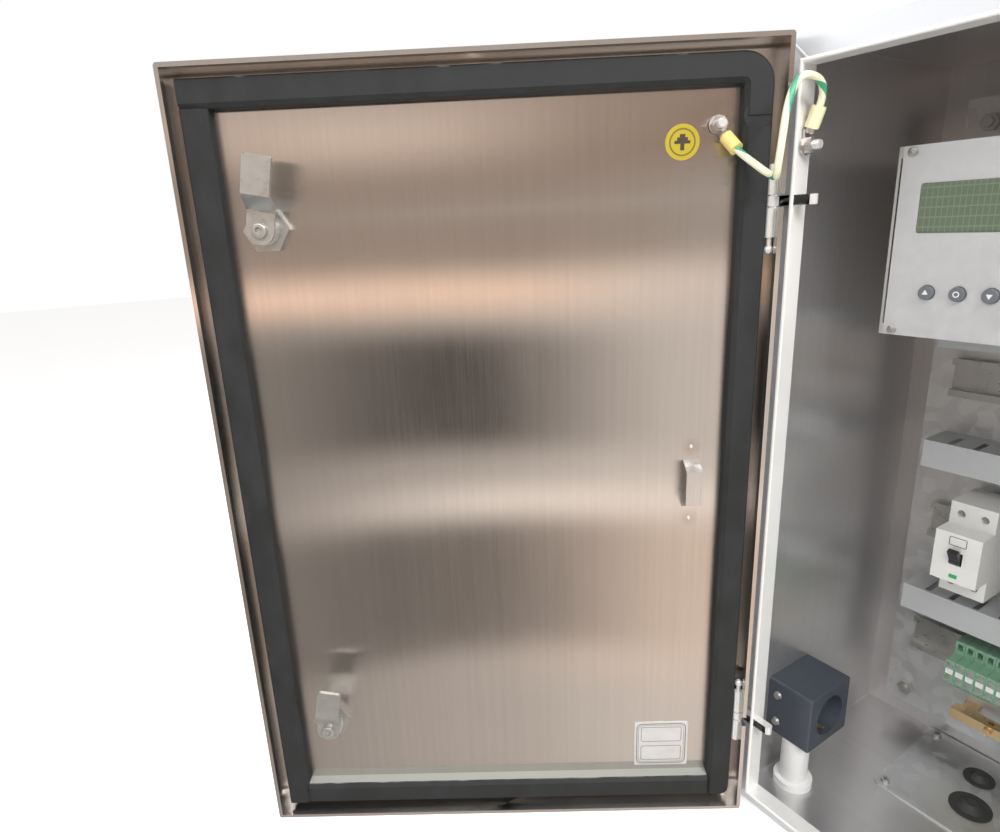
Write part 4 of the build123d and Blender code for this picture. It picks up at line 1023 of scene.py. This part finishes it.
# %% Floor
fresh_start()
bpy.ops.mesh.primitive_plane_add(size=14, location=(0, 0, -0.0004))
floor = bpy.context.object
floor.name = "studio_floor"
floor_finish = Finish("pale_floor", (0.93, 0.93, 0.92), 0.9, Specular_IOR_Level=0.0, Emission_Strength=1.0)
to_camera = floor_finish.node("ShaderNodeLightPath", {}, {}, "Is Camera Ray")
floor_finish.set("Emission Color", floor_finish.blend(to_camera, (0, 0, 0), (0.36, 0.36, 0.37)))
floor.data.materials.append(floor_finish.material)
floor.visible_glossy = False


def reflection_only(thing, finish):
    """Makes a stage piece that only reflections see: it lights nothing and hides nothing."""
    thing.data.materials.append(finish.material)
    for kind in ("camera", "diffuse", "transmission", "volume_scatter", "shadow"):
        setattr(thing, "visible_" + kind, False)


def glow(finish, color, strength=1.0):
    """Makes a stage finish shine by itself in a colour."""
    shine = finish.node("ShaderNodeEmission", {}, {"Color": color, "Strength": strength})
    finish.feed(finish.nodes["Material Output"].inputs["Surface"], shine)


# %% [markdown]
# Polished and brushed metal shows what stands round it, and in an all white room it looks like
# paper. A tall open drum round the cabinet, darker towards the floor, gives the steel its tone
# on every side.

# %% Surrounding drum
drum_low, drum_high = -1.5, 3.5
fresh_start()
bpy.ops.mesh.primitive_cylinder_add(
    vertices=96, radius=3.4, depth=drum_high - drum_low, end_fill_type="NOTHING", location=(0, 0, 0)
)
drum = bpy.context.object
drum.name = "surrounding_drum"
drum.data.transform(Matrix.Translation((0, 0, (drum_low + drum_high) / 2)))
drum_finish = Finish("drum_tone", (0, 0, 0), 1.0)
rise = drum_finish.part(drum_finish.place(), "Z")
drum_tones = (
    (0.0, (0.20, 0.195, 0.19)), (0.28, (0.34, 0.33, 0.32)), (0.36, (0.62, 0.61, 0.60)),
    (0.50, (0.74, 0.74, 0.73)), (0.62, (0.98, 0.98, 0.98)), (1.0, (1.0, 1.0, 1.0)),
)
factor = drum_finish.fit(rise, drum_low, drum_high, 0.0, 1.0)
glow(drum_finish, drum_finish.node("ShaderNodeValToRGB", {"stops": drum_tones}, {0: factor}))
reflection_only(drum, drum_finish)

# %% [markdown]
# A tall card stands a metre in front of the door, where its panel looks. Bare steel is only as
# lively as what it mirrors, so the card carries a few soft patches: a dark one in the middle, a
# warm band above it, a pale and a shaded band below it, and a lighter right side. A patch is a
# height and a side in metres, how far it reaches up and across, one of three colours of light,
# and how bright it is. Every patch fades over 7 cm up and down and 30 cm sideways, and the low
# ones sag towards the left.

# %% Banded card
card_distance, card_breadth = 1.0, 4.4
card_low, card_high = -1.35, 1.15
fade_up, fade_across = 0.07, 0.3
card_middle = on_door(0.023, 0, card_distance)
fresh_start()
bpy.ops.mesh.primitive_grid_add(x_subdivisions=2, y_subdivisions=2, size=1, location=(0, 0, 0))
card = bpy.context.object
card.name = "banded_card"
card.data.transform(
    Matrix.Translation((card_middle.x, card_middle.y, (card_low + card_high) / 2))
    @ door_frame.to_4x4()
    @ Matrix.Diagonal((card_breadth, card_high - card_low, 1, 1))
)
bands = Finish("card_bands", (0, 0, 0), 1.0)
card_place = bands.place(start=tuple(-value for value in card_middle))
height = bands.part(card_place, "Z") + card_middle.z
both = {0: card_place, 1: tuple(across)}
sideways = bands.node("ShaderNodeVectorMath", {"operation": "DOT_PRODUCT"}, both, "Value")
outwards = bands.fit(sideways, -0.65, -0.10, 0.55, 0.0)
height = height + outwards * outwards * bands.fit(height, -0.25, 0.15, 0.36, 0.0)
warm, tan, plain = (1.0, 0.70, 0.53), (1.0, 0.79, 0.65), (1.0, 0.88, 0.79)
patches = (
    ("dusk above", 0.60, 0.22, -0.6, 1.2, tan, 0.30),
    ("right side", -0.30, 0.78, 1.3, 1.3, plain, 0.65),
    ("lower right", -0.40, 0.30, 1.3, 1.3, tan, 0.75),
    ("left side", -0.30, 0.75, -1.2, 0.85, plain, 0.25),
    ("shade at the top right", 0.76, 0.14, 1.3, 1.3, warm, 0.25),
    ("gleam at the top left", 0.74, 0.09, -0.35, 0.5, tan, 0.65),
    ("dark middle", 0.16, 0.18, -0.15, 0.45, tan, 0.01),
    ("warm band", 0.395, 0.075, -0.8, 1.15, warm, 0.95),
    ("thin line of light", 0.575, 0.012, 0.0, 0.6, plain, 0.45),
    ("shaded band", -0.34, 0.24, -0.2, 0.55, plain, 0.13),
    ("pale band", -0.13, 0.075, 0.65, 1.15, plain, 0.90),
)
tones = shade(plain, 0.40)
for patch, level, reach, side, width, color, brightness in patches:
    up_and_down = bands.fit(abs(height - level), max(reach - fade_up, 0.0), reach, 1.0, 0.0)
    across_card = bands.fit(abs(sideways - side), width - fade_across, width, 1.0, 0.0)
    tones = bands.blend(up_and_down * across_card, tones, shade(color, brightness))
glow(bands, tones, strength=1.5)
reflection_only(card, bands)
print("card stands at", [round(value, 2) for value in card_middle])
print("card shows", [patch[0] for patch in patches])

# %% [markdown]
# ## Last step
# The view layer is updated once more, so that every new piece has its place worked out.

# %% Finish
bpy.context.view_layer.update()
